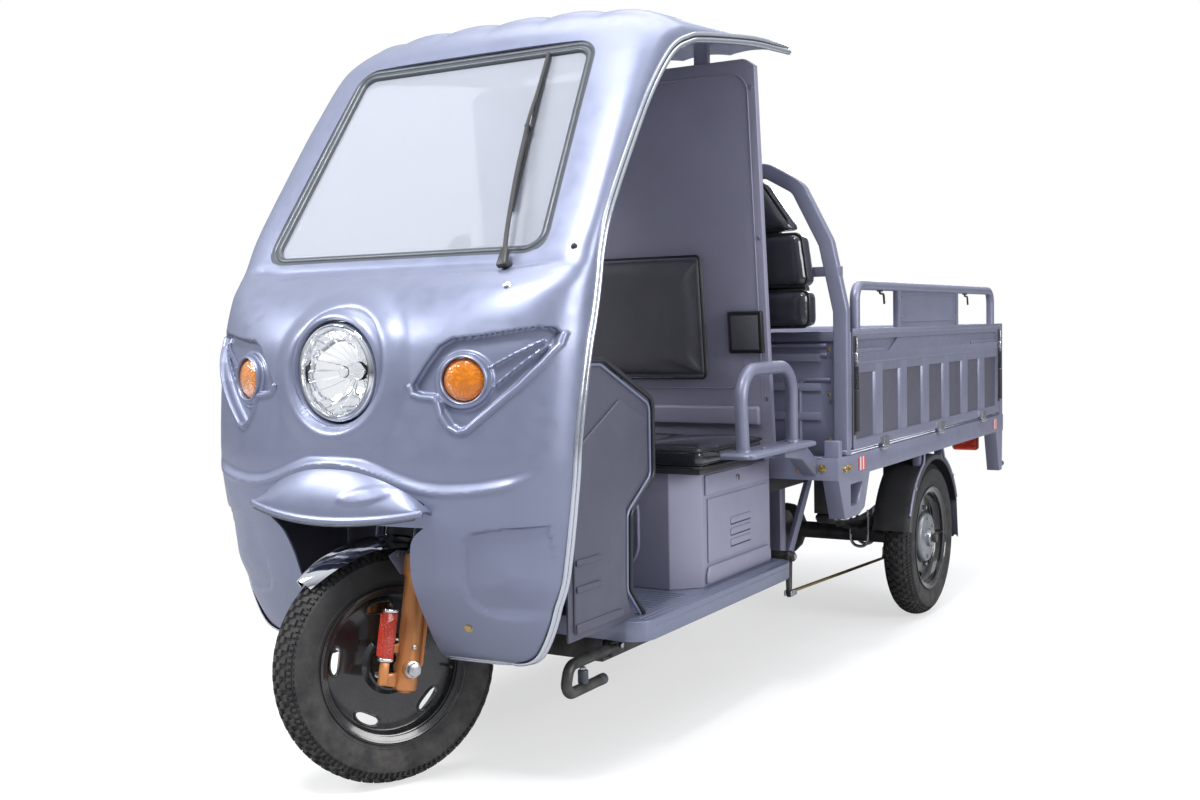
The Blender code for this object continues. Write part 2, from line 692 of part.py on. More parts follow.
def grown(outline, by):
    """A clockwise outline moved outwards all round."""
    points = [Vector(point) for point in outline]
    out = []
    for before, point, after in zip([points[-1], *points], points, [*points[1:], points[0]]):
        first, second = (point - before).normalized(), (after - point).normalized()
        outward = Vector((-first.y, first.x)) + Vector((-second.y, second.x))
        outward.normalize()
        lean = outward.dot(Vector((-first.y, first.x)))
        out.append(tuple(point + outward * by / max(lean, 0.5)))
    return out


def recess_cup(shell):
    """A recess's floor and walls: the shell set back, trimmed to the recess's outline and its rim."""
    around = grown(RECESS, RECESS_WALL)
    rim = cut(plate(around, *NOSE_SPAN, "y"), plate(RECESS, NOSE_SPAN[0] - 0.01, NOSE_SPAN[1] + 0.01, "y"))
    half_back = moved(copied(shell), Matrix.Translation((0, RECESS_DEPTH / 2, 0)))
    back = moved(copied(shell), Matrix.Translation((0, RECESS_DEPTH, 0)))
    wall = combine(half_back, [rim], "INTERSECT", "MANIFOLD")
    floor = combine(back, [plate(around, *NOSE_SPAN, "y")], "INTERSECT", "MANIFOLD")
    return [wall, floor]


def screen_place(across, up, out):
    return GLASS_FRAME @ Vector((across, up, out))


def screen_slab(inset, low, high):
    """A slab of the windscreen's outline, between two distances out from its plane."""
    return moved(plate(screen_outline(inset), low, high, "z"), GLASS_FRAME)


def make_cab_shell():
    bm = bmesh.new()
    rows = []
    for index, row in enumerate(SHELL_ROWS):
        place = min(1.0, max(0.0, (index - RIBS_FROM) / 2))
        line = []
        for k in range(SHELL_STEPS + 1):
            point = shell_point(row, math.pi * (k / SHELL_STEPS - 0.5))
            point.z += roof_rib(place, k / SHELL_STEPS)
            if index in CREASE_ROWS:
                point.z -= crease_drop(point.x)
            line.append(bm.verts.new(point))
        rows.append(line)
    for first, second in zip(rows, rows[1:]):
        for k in range(SHELL_STEPS):
            bm.faces.new((first[k], first[k + 1], second[k + 1], second[k]))
    surface = from_bmesh(bm)
    wall = surface.modifiers.new("sheet", "SOLIDIFY")
    wall.thickness = SHELL_SHEET
    wall.offset = 0.0
    shell = as_mesh(surface)

    arch = [(-0.150, 0.20), (0.150, 0.20), (0.150, 0.43), (0.160, 0.51), (0.180, 0.550), (0.205, 0.569),
            (-0.205, 0.569), (-0.180, 0.550), (-0.160, 0.51), (-0.150, 0.43)]
    openings = [plate(arch, -0.30, 0.20, "y"), screen_slab(0.0, -0.06, 0.06)]
    bezel = ring_profile([(HEADLIGHT_RADIUS - 0.004, 0.000), (HEADLIGHT_RADIUS - 0.004, 0.060),
                          (BEZEL_RADIUS - 0.004, 0.060), (BEZEL_RADIUS, 0.050), (BEZEL_RADIUS - 0.010, 0.006),
                          (BEZEL_RADIUS - 0.018, 0.000)])
    lamp_place = Matrix.Translation((0, HEADLIGHT_Y - 0.010, HEADLIGHT_Z))
    additions = [moved(spun_forward(bezel, 28), lamp_place), make_visor()]
    cup = recess_cup(shell)
    additions += cup + [mirrored(shape) for shape in cup]
    shell = combine(shell, both_sides(plate(RECESS, *NOSE_SPAN, "y")), "DIFFERENCE", "MANIFOLD")
    for low, reach in ((0.44, 0.4295), (0.76, 0.468)):
        additions += both_sides(box((DASH_HALF_WIDTH - 0.020, reach), (0.010, DASH_FRONT - SEAT_GAP),
                                    (low, low + 0.04)))
    r = SIGNAL_RADIUS
    socket = ring_profile([(r - 0.006, -0.004), (r - 0.006, 0.032), (r + 0.004, 0.032), (r + 0.004, -0.004)])
    for side in (1, -1):
        additions.append(moved(spun_forward(socket, LAMP_STEPS), signal_place(side)))
    shell = combine(shell, additions, "UNION", "MANIFOLD")
    openings.append(rod((0, -0.3, HEADLIGHT_Z), (0, 0.0, HEADLIGHT_Z), HEADLIGHT_RADIUS + SEAT_GAP, 28))
    for side in (1, -1):
        hole = spun_forward([(0.0, -0.08), (r + SEAT_GAP, -0.08), (r + SEAT_GAP, 0.08), (0.0, 0.08)][::-1], LAMP_STEPS)
        openings.append(moved(hole, signal_place(side)))
    openings.append(rod(screen_place(*WIPER_FOOT, -0.05), screen_place(*WIPER_FOOT, 0.08),
                        WIPER_SPINDLE + SEAT_GAP, 12))
    shell = combine(shell, openings, "DIFFERENCE", "MANIFOLD")
    finish("cab_shell", shell, PAINT, vehicle, 50)


def spun_forward(profile, steps):
    """A ring of (radius, depth behind its front) about an axis along y, open to the front."""
    return turned([(radius, -depth) for radius, depth in profile], "y", steps)


def signal_place(side):
    turn = Matrix.Rotation(side * SIGNAL_TURN, 4, "Z")
    return Matrix.Translation((side * SIGNAL_X, SIGNAL_Y - SIGNAL_PROUD, SIGNAL_Z)) @ turn


def make_visor():
    """The lip over the front wheel: a root arched up the nose, a facet and a level front edge."""
    steps = 12
    bm = bmesh.new()
    rings = []
    for k in range(steps + 1):
        across = 2 * k / steps - 1
        x = 0.226 * across
        arch = math.cos(across * math.pi / 2)
        y_nose = -0.128 + 0.055 * across ** 2
        section = (
            (y_nose + 0.012, 0.594 + 0.092 * arch),
            (-0.152 + 0.034 * across ** 2, 0.590 + 0.088 * arch),
            (-0.184 + 0.026 * across ** 2, 0.584 + 0.010 * arch),
            (-0.180 + 0.026 * across ** 2, 0.572),
            (y_nose + 0.016, 0.584),
        )
        rings.append([bm.verts.new((x, y, z)) for y, z in section])
    for first, second in zip(rings, rings[1:]):
        for k in range(5):
            bm.faces.new((first[k], first[(k + 1) % 5], second[(k + 1) % 5], second[k]))
    bm.faces.new(rings[0])
    bm.faces.new(rings[-1])
    return from_bmesh(bm)


def make_lamps():
    face = HEADLIGHT_RADIUS
    lamp = spun_forward([(0.0, 0.0), (0.060, 0.002), (face - 0.012, 0.008), (face - 0.008, 0.0), (face, 0.004),
                         (face, 0.040), (0.060, 0.095), (0.0, 0.100)][::-1], 28)
    lamp = moved(lamp, Matrix.Translation((0, HEADLIGHT_Y - 0.014, HEADLIGHT_Z)))
    finish("headlight", lamp, BRIGHT, vehicle)
    r = SIGNAL_RADIUS
    for side, name in ((1, "left"), (-1, "right")):
        dome = spun_forward([(0.0, -0.006), (r * 0.5, -0.004), (r * 0.85, 0.002), (r, 0.010), (r, 0.030),
                             (0.0, 0.034)][::-1], LAMP_STEPS)
        finish("signal_lamp_" + name, moved(dome, signal_place(side)), AMBER, vehicle)


def make_windscreen():
    fit = SEAT_GAP
    frame = cut(screen_slab(fit, -GASKET_THICK / 2, GASKET_THICK / 2),
                screen_slab(GASKET_WIDTH, -0.05, 0.05))
    finish("windscreen_gasket", frame, RUBBER, vehicle)
    half = GLASS_THICK / 2
    finish("windscreen", screen_slab(GASKET_WIDTH + fit, -half, half), GLASS, vehicle)


def make_wiper():
    """Spindle, arm and blade over the lower left corner of the glass."""
    foot = screen_place(*WIPER_FOOT, 0.0)
    middle = ((WIPER_HEEL[0] + WIPER_TIP[0]) / 2, (WIPER_HEEL[1] + WIPER_TIP[1]) / 2)
    arm = tube([foot + GLASS_OUT * 0.010, foot + GLASS_OUT * 0.034,
                screen_place(WIPER_FOOT[0] - 0.015, WIPER_FOOT[1] + 0.09, 0.030),
                screen_place(*middle, 0.022)], 0.004, 0.01, 3, 8)
    blade = tube([screen_place(*WIPER_HEEL, 0.0125), screen_place(*WIPER_TIP, 0.0125)], 0.0045, sides=8)
    bridge = rod(screen_place(*middle, 0.010), screen_place(*middle, 0.028), 0.009, 10)
    cap = rod(foot - GLASS_OUT * 0.030, foot + GLASS_OUT * 0.040, WIPER_SPINDLE, 12)
    finish("wiper", joined(arm, blade, bridge, cap), PLASTIC, vehicle)


# Floor, dash fairing, seat and rear panel

def make_floor():
    w, sheet = FLOOR_HALF_WIDTH, FLOOR_SHEET
    corner = 0.050

    def outline(inset):
        x, near, far = w - inset, FLOOR_FRONT + inset, FLOOR_REAR - inset
        path = [(-x, near, 0), (x, near, 0), (x, far, 0), (-x, far, 0), (-x, near, 0), (x, near, 0)]
        return [(point.x, point.y) for point in bend_points(path, corner - inset, 3)[1:-1]][:16]

    pan = plate(outline(0.0), FLOOR_BOTTOM, FLOOR_TOP, "z")
    hollow = plate(outline(sheet), FLOOR_BOTTOM - 0.02, FLOOR_TOP - sheet, "z")
    fit = NECK_RADIUS + SEAT_GAP
    notch = box((-fit, fit), (FLOOR_FRONT - 0.1, NECK_Y + fit), (0.2, 0.4))
    finish("floor_pan", cut(pan, hollow, notch), PAINT, vehicle)


COLUMN_ROOM = 0.115     # half the width of the hole that the handlebar's column stands in
DASH_SHELF_Y = 0.240
DASH_KNEE_Y = 0.450
DASH_KNEE_TOP = 0.792
DASH_FOOT = (0.395, 0.280)
DASH_PROFILE = ((0.0, DASH_FOOT[1]), DASH_FOOT, (0.338, 0.380), (0.343, 0.550), (DASH_KNEE_Y, 0.620),
                (DASH_KNEE_Y, DASH_KNEE_TOP), (DASH_SHELF_Y, 0.888), (0.0, 0.895))


def make_dash():
    """A hollow moulding across the cab, stepped for the knees, open to the front and below."""
    half = DASH_HALF_WIDTH
    outer = rounded(plate(DASH_PROFILE, -half, half, "x"), 0.018, 2, 50)
    t = DASH_SHEET
    inner_profile = ((-0.1, 0.24), (0.412 - t, 0.24), (0.338 - t, 0.380), (0.343 - t, 0.550 + t * 0.8),
                     (DASH_KNEE_Y - t, 0.620 + t * 0.8), (DASH_KNEE_Y - t, DASH_KNEE_TOP - t * 0.8),
                     (DASH_SHELF_Y - t * 0.4, 0.888 - t * 1.2), (-0.1, 0.895 - t * 1.2))
    wide = half + 0.1
    trims = (box((-wide, wide), (-0.1, DASH_FRONT), (0.2, 1.0)),
             box((-wide, wide), (-0.1, 0.5), (0.2, FLOOR_TOP + SEAT_GAP)))
    inner = plate(inner_profile, -half + t, half - t, "x")
    column = box((-COLUMN_ROOM, COLUMN_ROOM), (0.05, DASH_SHELF_Y - 0.005), (DASH_KNEE_TOP + 0.008, 1.0))
    shape = cut(outer, inner, column, *trims)
    finish("dash_fairing", shape, PAINT, vehicle)


def make_seat():
    w, t, c = SEAT_BOX_HALF_WIDTH, SEAT_BOX_SHEET, SEAT_BOX_CORNER
    front, rear = SEAT_BOX_FRONT, SEAT_BOX_REAR
    low = FLOOR_TOP + SEAT_GAP
    outline = [(-w + c, front), (w - c, front), (w, front + c), (w, rear), (-w, rear), (-w, front + c)]
    hollow = [(-w + c, front + t), (w - c, front + t), (w - t, front + c), (w - t, rear - t),
              (-w + t, rear - t), (-w + t, front + c)]
    shape = cut(plate(outline, low, SEAT_BOX_TOP, "z"), plate(hollow, low + t, SEAT_BOX_TOP - t, "z"),
                box((-w + 0.05, w - 0.05), (front + 0.07, SEAT_REAR - 0.06), (0.55, 0.65)))
    finish("seat_box", shape, PAINT, vehicle)
    battery = box((-w + BATTERY_SIDE_ROOM, w - BATTERY_SIDE_ROOM),
                  (front + BATTERY_END_ROOM, rear - BATTERY_END_ROOM),
                  (low + t + SEAT_GAP, low + t + BATTERY_HEIGHT))
    finish("battery_pack", battery, PLASTIC, vehicle)


SEAT_HINGE = Vector((0, SEAT_FRONT - 0.006, SEAT_BOX_TOP + 0.010))
seat_hinge = empty("seat", vehicle, Matrix.Translation(SEAT_HINGE))


def at_hinge(shape, hinge):
    return moved(shape, Matrix.Translation(-Vector(hinge)))


def make_seat_cushion():
    base = SEAT_BOX_TOP + SEAT_GAP
    top = base + SEAT_PAN_THICK
    pan = box((-SEAT_HALF_WIDTH + 0.01, SEAT_HALF_WIDTH - 0.01), (SEAT_FRONT, SEAT_REAR), (base, top))
    knuckles = both_sides(rod((0.22, SEAT_HINGE.y, SEAT_HINGE.z), (0.28, SEAT_HINGE.y, SEAT_HINGE.z), 0.006, 10))
    knuckles += both_sides(box((0.225, 0.275), (SEAT_HINGE.y, SEAT_FRONT + 0.02), (base + 0.002, top - 0.002)))
    finish("seat_pan", at_hinge(joined(pan, *knuckles), SEAT_HINGE), PLASTIC, seat_hinge)
    cushion = box((-SEAT_HALF_WIDTH, SEAT_HALF_WIDTH), (SEAT_FRONT - 0.012, SEAT_REAR),
                  (top + SEAT_GAP, top + SEAT_THICK))
    finish("seat_cushion", at_hinge(rounded(cushion, 0.022, 2), SEAT_HINGE), VINYL, seat_hinge)


def panel_frame():
    return Matrix.Translation((0, PANEL_FOOT_Y, SEAT_BOX_TOP + SEAT_GAP)) @ Matrix.Rotation(PANEL_LEAN, 4, "X")


def roof_underside(angle, y):
    """A point under the roof's sheet at an angle across it and a place along it."""
    near, far = (shell_point(row, angle) for row in SHELL_ROWS[-3:-1])
    point = near.lerp(far, (y - near.y) / (far.y - near.y))
    return point - Vector((0, 0, SHELL_SHEET / 2))


def make_rear_panel():
    """A flat moulded wall behind the seat, with a returned edge round its back and brackets to the roof."""
    w, t = PANEL_HALF_WIDTH, PANEL_THICK
    height = (PANEL_TOP - SEAT_BOX_TOP) / math.cos(PANEL_LEAN)
    lean = panel_frame()
    outline = [(-w, 0), (w, 0), (w, height - 0.02), (w - 0.03, height), (-w + 0.03, height), (-w, height - 0.02)]
    wall = plate(outline, 0, t, "y")
    hollow = box((-w + 0.02, w - 0.02), (0.005, t + 0.02), (0.03, height - 0.03))
    wall = moved(cut(wall, hollow), lean)
    top_y = (lean @ Vector((0, t / 2, height))).y
    valley = roof_underside(BRACKET_ANGLE, top_y)
    x = (valley.x - 0.020, valley.x + 0.020)
    roof = valley.z - SEAT_GAP
    brackets = both_sides(joined(box(x, (top_y - 0.008, top_y + 0.008), (PANEL_TOP - 0.020, roof)),
                                 box(x, (top_y - 0.030, top_y + 0.030), (roof - 0.004, roof))))
    finish("cab_rear_panel", joined(wall, *brackets), PAINT, vehicle)
    pad = box((-w + BACK_PAD_IN, w - BACK_PAD_IN), (-0.045, -SEAT_GAP), (0.215, 0.545))
    finish("cab_back_pad", moved(rounded(pad, 0.012, 2), lean), VINYL, vehicle)
    side_pad = rounded(box((w - SIDE_PAD_IN, w - 0.008), (-0.018, -SEAT_GAP), (0.281, 0.391)), 0.003)
    side_pad = moved(side_pad, lean)
    finish("cab_side_pad_right", mirrored(side_pad), RUBBER, vehicle)
    finish("cab_side_pad_left", side_pad, RUBBER, vehicle)


# Chassis

def make_chassis():
    """Low rails joined by two pairs of posts to rails under the bed, braces, cross members, neck and hangers."""
    h = RAIL_WIDTH / 2
    x = (RAIL_X - h, RAIL_X + h)
    wide = (-RAIL_X, RAIL_X)
    low = (FLOOR_BOTTOM - SEAT_GAP - RAIL_HEIGHT, FLOOR_BOTTOM - SEAT_GAP)
    high = (BED_BOTTOM - SEAT_GAP - RAIL_HEIGHT, BED_BOTTOM - SEAT_GAP)
    kick = (BED_FRONT, BED_FRONT + RAIL_WIDTH)
    post = (kick[0] + SECOND_POST, kick[1] + SECOND_POST)
    end = BED_REAR - 0.060
    brace = [(post[1] - 0.022, low[1] + 0.004), (post[1] + 0.006, low[1] - 0.014),
             (post[1] + 0.200, high[0] + 0.020), (post[1] + 0.165, high[0] + 0.020)]
    side = joined(box(x, (kick[0], end), high), box(x, kick, (low[0], high[1])),
                  box(x, (LOW_RAIL_FRONT, post[1]), low),
                  box((x[0] + CROSS_INSET, x[1] - CROSS_INSET), (post[0], post[1] - CROSS_INSET),
                      (low[0] + CROSS_INSET, high[1] - CROSS_INSET)))
    braces = both_sides(plate(brace, x[1] - 0.005, x[1] + BRACE_THICK, "x"))
    levels = ((low, (LOW_RAIL_FRONT + CROSS_INSET, SEAT_BOX_FRONT + BATTERY_END_ROOM, kick[0] + CROSS_INSET)),
              (high, (kick[0] + CROSS_INSET, WHEEL_BASE - SPRING_HALF_SPAN - 0.02,
                      WHEEL_BASE + SPRING_HALF_SPAN - 0.02, end - RAIL_WIDTH)))
    crosses = [box(wide, (y, y + RAIL_WIDTH - 2 * CROSS_INSET), (z[0] + CROSS_INSET, z[1] - CROSS_INSET))
               for z, places in levels for y in places]
    shape = joined(side, mirrored(side), *crosses)
    hangers = []
    for y in (WHEEL_BASE - SPRING_HALF_SPAN, WHEEL_BASE + SPRING_HALF_SPAN):
        hangers += both_sides(box((SPRING_X - 0.032, SPRING_X + 0.032), (y - 0.022, y + 0.022),
                                  (SPRING_EYE_Z + SPRING_EYE + SEAT_GAP, high[1] - 0.01)))
    neck_low = head_place(0.370)
    neck_high = head_place(0.485)
    neck = tube([(0, NECK_Y, low[0] + 0.02), (0, NECK_Y, 0.52), tuple(head_place(0.425))], NECK_RADIUS, 0.06, 3, 10)
    gusset = tube([(0, NECK_Y, 0.40), tuple(head_place(0.385))], 0.012, sides=8)
    shape = joined(shape, *braces, *hangers, neck, gusset, rod(neck_low, neck_high, HEAD_TUBE_RADIUS, PIPE_STEPS))
    bore = rod(head_place(0.30), head_place(0.60), STEM_RADIUS + PIN_GAP, PIPE_STEPS)
    finish("chassis_frame", cut(shape, bore), STEEL, vehicle)


def head_place(up):
    return Vector((0, 0, FRONT_AXLE_Z)) + STEER_AXIS * up


# Rear axle, springs and motor

SPRING_EYE = 0.016
SPRING_EYE_Z = 0.345
SPRING_DROP = 0.046     # from the eyes down to the middle of the main leaf
LEAF = 0.007
LEAF_LENGTHS = (1.0, 0.78, 0.56, 0.34)
CRANK_HEAD = 0.312      # of the parking brake's lever
CRANK_FOOT = 0.208


def leaf_height(t):
    """The middle of the main leaf at a share of the way from the axle to an eye."""
    return SPRING_EYE_Z - SPRING_DROP + SPRING_DROP * t * t


def make_springs():
    outline = []
    steps = 14
    half = SPRING_HALF_SPAN
    for k in range(steps + 1):
        t = 2 * k / steps - 1
        outline.append((WHEEL_BASE + half * t, leaf_height(t) + LEAF / 2))
    for t in sorted({s * share for share in LEAF_LENGTHS for s in (1, -1)}, reverse=True):
        depth = sum(1 for share in LEAF_LENGTHS if share >= abs(t) - 1e-9)
        before = depth - 1
        first, second = (before, depth) if t > 0 else (depth, before)
        if first:
            outline.append((WHEEL_BASE + half * t, leaf_height(t) + LEAF / 2 - LEAF * first))
        if second:
            outline.append((WHEEL_BASE + half * t, leaf_height(t) + LEAF / 2 - LEAF * second))
    leaf = plate(outline, SPRING_X - 0.025, SPRING_X + 0.025, "x")
    eyes = [rod((SPRING_X - 0.028, WHEEL_BASE + s * half, SPRING_EYE_Z),
                (SPRING_X + 0.028, WHEEL_BASE + s * half, SPRING_EYE_Z), SPRING_EYE, 14) for s in (1, -1)]
    spring = joined(leaf, *eyes)
    finish("leaf_spring_right", mirrored(spring), STEEL, vehicle)
    finish("leaf_spring_left", spring, STEEL, vehicle)


def make_rear_axle():
    centre = (WHEEL_BASE, TYRE_RADIUS)
    reach = TRACK / 2
    plate_x = reach - BACKING_IN
    pad_top = leaf_height(LEAF_LENGTHS[-1]) + LEAF / 2 - LEAF * len(LEAF_LENGTHS) - SEAT_GAP
    inner_end = plate_x - 0.003
    shapes = [rod((-inner_end, *centre), (inner_end, *centre), AXLE_TUBE_RADIUS, 14)]
    shapes += both_sides(rod((plate_x - 0.02, *centre), (reach + 0.058, *centre), AXLE_RADIUS, RIM_STEPS))
    shapes += both_sides(rod((plate_x - BACKING_THICK, *centre), (plate_x, *centre), DRUM_RADIUS - 0.002, 20))
    shapes += both_sides(rod((reach + 0.049, *centre), (reach + 0.060, *centre), 0.016, 6))
    shapes += both_sides(box((SPRING_X - 0.028, SPRING_X + 0.028), (WHEEL_BASE - 0.040, WHEEL_BASE + 0.040),
                             (TYRE_RADIUS, pad_top)))
    shapes.append(ball((0.06, *centre), 0.088, 14, (0.75, 1, 1)))
    motor_at = (WHEEL_BASE - 0.175, TYRE_RADIUS + 0.010)
    case = (0.045, 0.105)
    shapes.append(rod((case[0], motor_at[0] + 0.060, motor_at[1]), (case[1], motor_at[0] + 0.060, motor_at[1]),
                      0.070, 16))
    finish("rear_axle", joined(*shapes), STEEL, vehicle)
    face = case[0] - SEAT_GAP
    motor = joined(rod((face, *motor_at), (face - 0.210, *motor_at), 0.078, 18),
                   rod((face - 0.200, *motor_at), (face - 0.228, *motor_at), 0.060, 18))
    finish("drive_motor", motor, STEEL, vehicle)


def make_mudguards():
    """A black arc over each rear wheel with a flap hanging behind it."""
    for side, name in ((1, "left"), (-1, "right")):
        inner, outer = 0.268, 0.2725
        ahead, behind = math.radians(78), math.radians(70)
        outline = []
        steps = 14
        for k in range(steps + 1):
            around = -ahead + (ahead + behind) * k / steps
            outline.append((WHEEL_BASE + outer * math.sin(around), TYRE_RADIUS + outer * math.cos(around)))
        outline += [(WHEEL_BASE + outer * math.sin(behind) + 0.020, 0.210),
                    (WHEEL_BASE + outer * math.sin(behind) + 0.016, 0.210)]
        for k in range(steps + 1):
            around = behind - (ahead + behind) * k / steps
            outline.append((WHEEL_BASE + inner * math.sin(around), TYRE_RADIUS + inner * math.cos(around)))
        guard = plate(outline, TRACK / 2 - GUARD_IN, TRACK / 2 + GUARD_OUT, "x")
        stay_x = (TRACK / 2 + GUARD_OUT - 0.035, TRACK / 2 + GUARD_OUT - 0.010)
        stays = [box(stay_x, (WHEEL_BASE + s * 0.115 - 0.01, WHEEL_BASE + s * 0.115 + 0.01),
                     (TYRE_RADIUS + 0.240, BED_BOTTOM - SEAT_GAP)) for s in (1, -1)]
        shape = joined(guard, *stays)
        shape = shape if side > 0 else mirrored_only(shape)
        finish("mudguard_" + name, shape, PLASTIC, vehicle)


def mirrored_only(shape):
    return moved(shape, Matrix.Diagonal((-1, 1, 1, 1)))


# Cargo bed

def make_bed():
    w = BED_HALF_WIDTH
    top = BED_BOTTOM + BEAM_HEIGHT
    z = (BED_BOTTOM, top)
    side = box((w - BEAM_WIDTH, w), (BED_FRONT - BED_LIP, BED_REAR), z)
    shapes = both_sides(side)
    shapes.append(box((-w, w), (BED_FRONT - BED_LIP, BED_FRONT + 0.02), z))
    shapes.append(box((-w, w), (BED_REAR - BEAM_WIDTH, BED_REAR), z))
    bay = (BED_REAR - RAIL_WIDTH - BED_FRONT) / BED_BAYS
    shapes += [box((-w + 0.01, w - 0.01), (BED_FRONT + bay * k, BED_FRONT + bay * k + RAIL_WIDTH), z)
               for k in range(1, BED_BAYS)]
    post = BED_REAR - BEAM_WIDTH
    shapes += both_sides(box((w - POST_SIZE, w), (post, post + POST_SIZE), (BED_BOTTOM + 0.01, GATE_TOP)))
    bracket = [(BED_FRONT - BED_LIP, BED_BOTTOM + 0.01), (BED_FRONT + 0.215, BED_BOTTOM + 0.01),
               (BED_FRONT + 0.165, 0.440), (BED_FRONT + 0.120, 0.425), (BED_FRONT + 0.010, 0.425)]
    window = [(BED_FRONT + 0.055, 0.515), (BED_FRONT + 0.150, 0.515), (BED_FRONT + 0.115, 0.455),
              (BED_FRONT + 0.055, 0.455)]
    corner = cut(plate(bracket, w - 0.045, w, "x"), plate(window, w - 0.1, w + 0.1, "x"))
    shapes += both_sides(corner)
    tail = [(BED_REAR - 0.110, BED_BOTTOM + 0.01), (BED_REAR - 0.010, BED_BOTTOM + 0.01),
            (BED_REAR - 0.020, 0.385), (BED_REAR - 0.060, 0.385)]
    shapes += both_sides(plate(tail, w - 0.045, w, "x"))
    shapes += both_sides(rod((w - 0.022, BED_REAR - 0.04, 0.405), (w - 0.022, BUMPER_TIP, 0.400), 0.011, 12))
    finish("bed_frame", joined(*shapes), PAINT, vehicle)
    inside = w - BEAM_WIDTH / 2
    deck = box((-inside, inside), (HOOP_Y + POST_SIZE / 2, BED_REAR - BEAM_WIDTH - SEAT_GAP),
               (top + SEAT_GAP, top + BED_SHEET))
    finish("bed_floor", deck, PAINT, vehicle)


HEADBOARD_RAIL = 0.905

# Pads of the headboard's cushion: (top end inside the post, top z, lower end inside the post, lower z)
CUSHION_PADS = (
    (0.200, 1.345, 0.105, 1.200),
    (0.090, 1.195, 0.060, 1.050),
    (0.060, 1.045, 0.055, 0.940),
)


def make_headboard():
    """Posts bent over into a hoop, a front wall and the rails that carry the back cushion."""
    low = BED_BOTTOM + BEAM_HEIGHT + SEAT_GAP
    r = POST_SIZE / 2
    outer = [(HOOP_FOOT, low), (HOOP_FOOT, 0.985), (HOOP_FOOT - 0.040, 1.170), (HOOP_FOOT - 0.120, 1.325),
             (HOOP_FOOT - 0.210, 1.376)]
    path = [(x, HOOP_Y, z) for x, z in outer] + [(-x, HOOP_Y, z) for x, z in reversed(outer)]
    hoop = tube(path, 0.0205, 0.05, 3, 4)
    wide = (-HOOP_FOOT, HOOP_FOOT)
    wall = box(wide, (HOOP_Y - 0.004, HOOP_Y + 0.004), (low, HEADBOARD_RAIL + 0.010))
    rails = [box(wide, (HOOP_Y - 0.013, HOOP_Y + 0.013), (z, z + 0.026)) for z in (HEADBOARD_RAIL, 1.080)]
    beads = [box((0.06 - HOOP_FOOT, HOOP_FOOT - 0.06), (HOOP_Y - 0.012, HOOP_Y + 0.004), (z, z + 0.020))
             for z in (HEADBOARD_RAIL - 0.215, HEADBOARD_RAIL - 0.135, HEADBOARD_RAIL - 0.055)]
    finish("headboard", joined(hoop, wall, *rails, *beads), PAINT, vehicle)
    front = HOOP_Y - 0.020 - 0.105
    rear = HOOP_Y - 0.013 - SEAT_GAP
    pads = [plate([(HOOP_FOOT - top_in, high), (HOOP_FOOT - foot_in, low), (foot_in - HOOP_FOOT, low),
                   (top_in - HOOP_FOOT, high)], front, rear - 0.012, "y")
            for top_in, high, foot_in, low in CUSHION_PADS]
    wide, narrow = HOOP_FOOT - 0.080, HOOP_FOOT - 0.220
    back = plate([(-narrow, 1.33), (narrow, 1.33), (wide, 1.05), (wide, 0.95), (-wide, 0.95), (-wide, 1.05)],
                 rear - 0.030, rear, "y")
    finish("headboard_cushion", joined(back, *pads), VINYL, vehicle)


GATE_LOW = BED_BOTTOM + BEAM_HEIGHT + 0.012
GATE_FRONT = HOOP_Y + POST_SIZE / 2 + GATE_GAP
GATE_REAR = BED_REAR - BEAM_WIDTH - GATE_GAP
SIDE_HINGE = Vector((BED_HALF_WIDTH + HINGE_OUT, 0, BED_BOTTOM + BEAM_HEIGHT))
TAIL_HINGE = Vector((0, BED_REAR + HINGE_OUT, BED_BOTTOM + BEAM_HEIGHT))
FLUTES = 7
GATE_HINGES = (0.156, 0.509, 0.838)     # shares of the gate's length


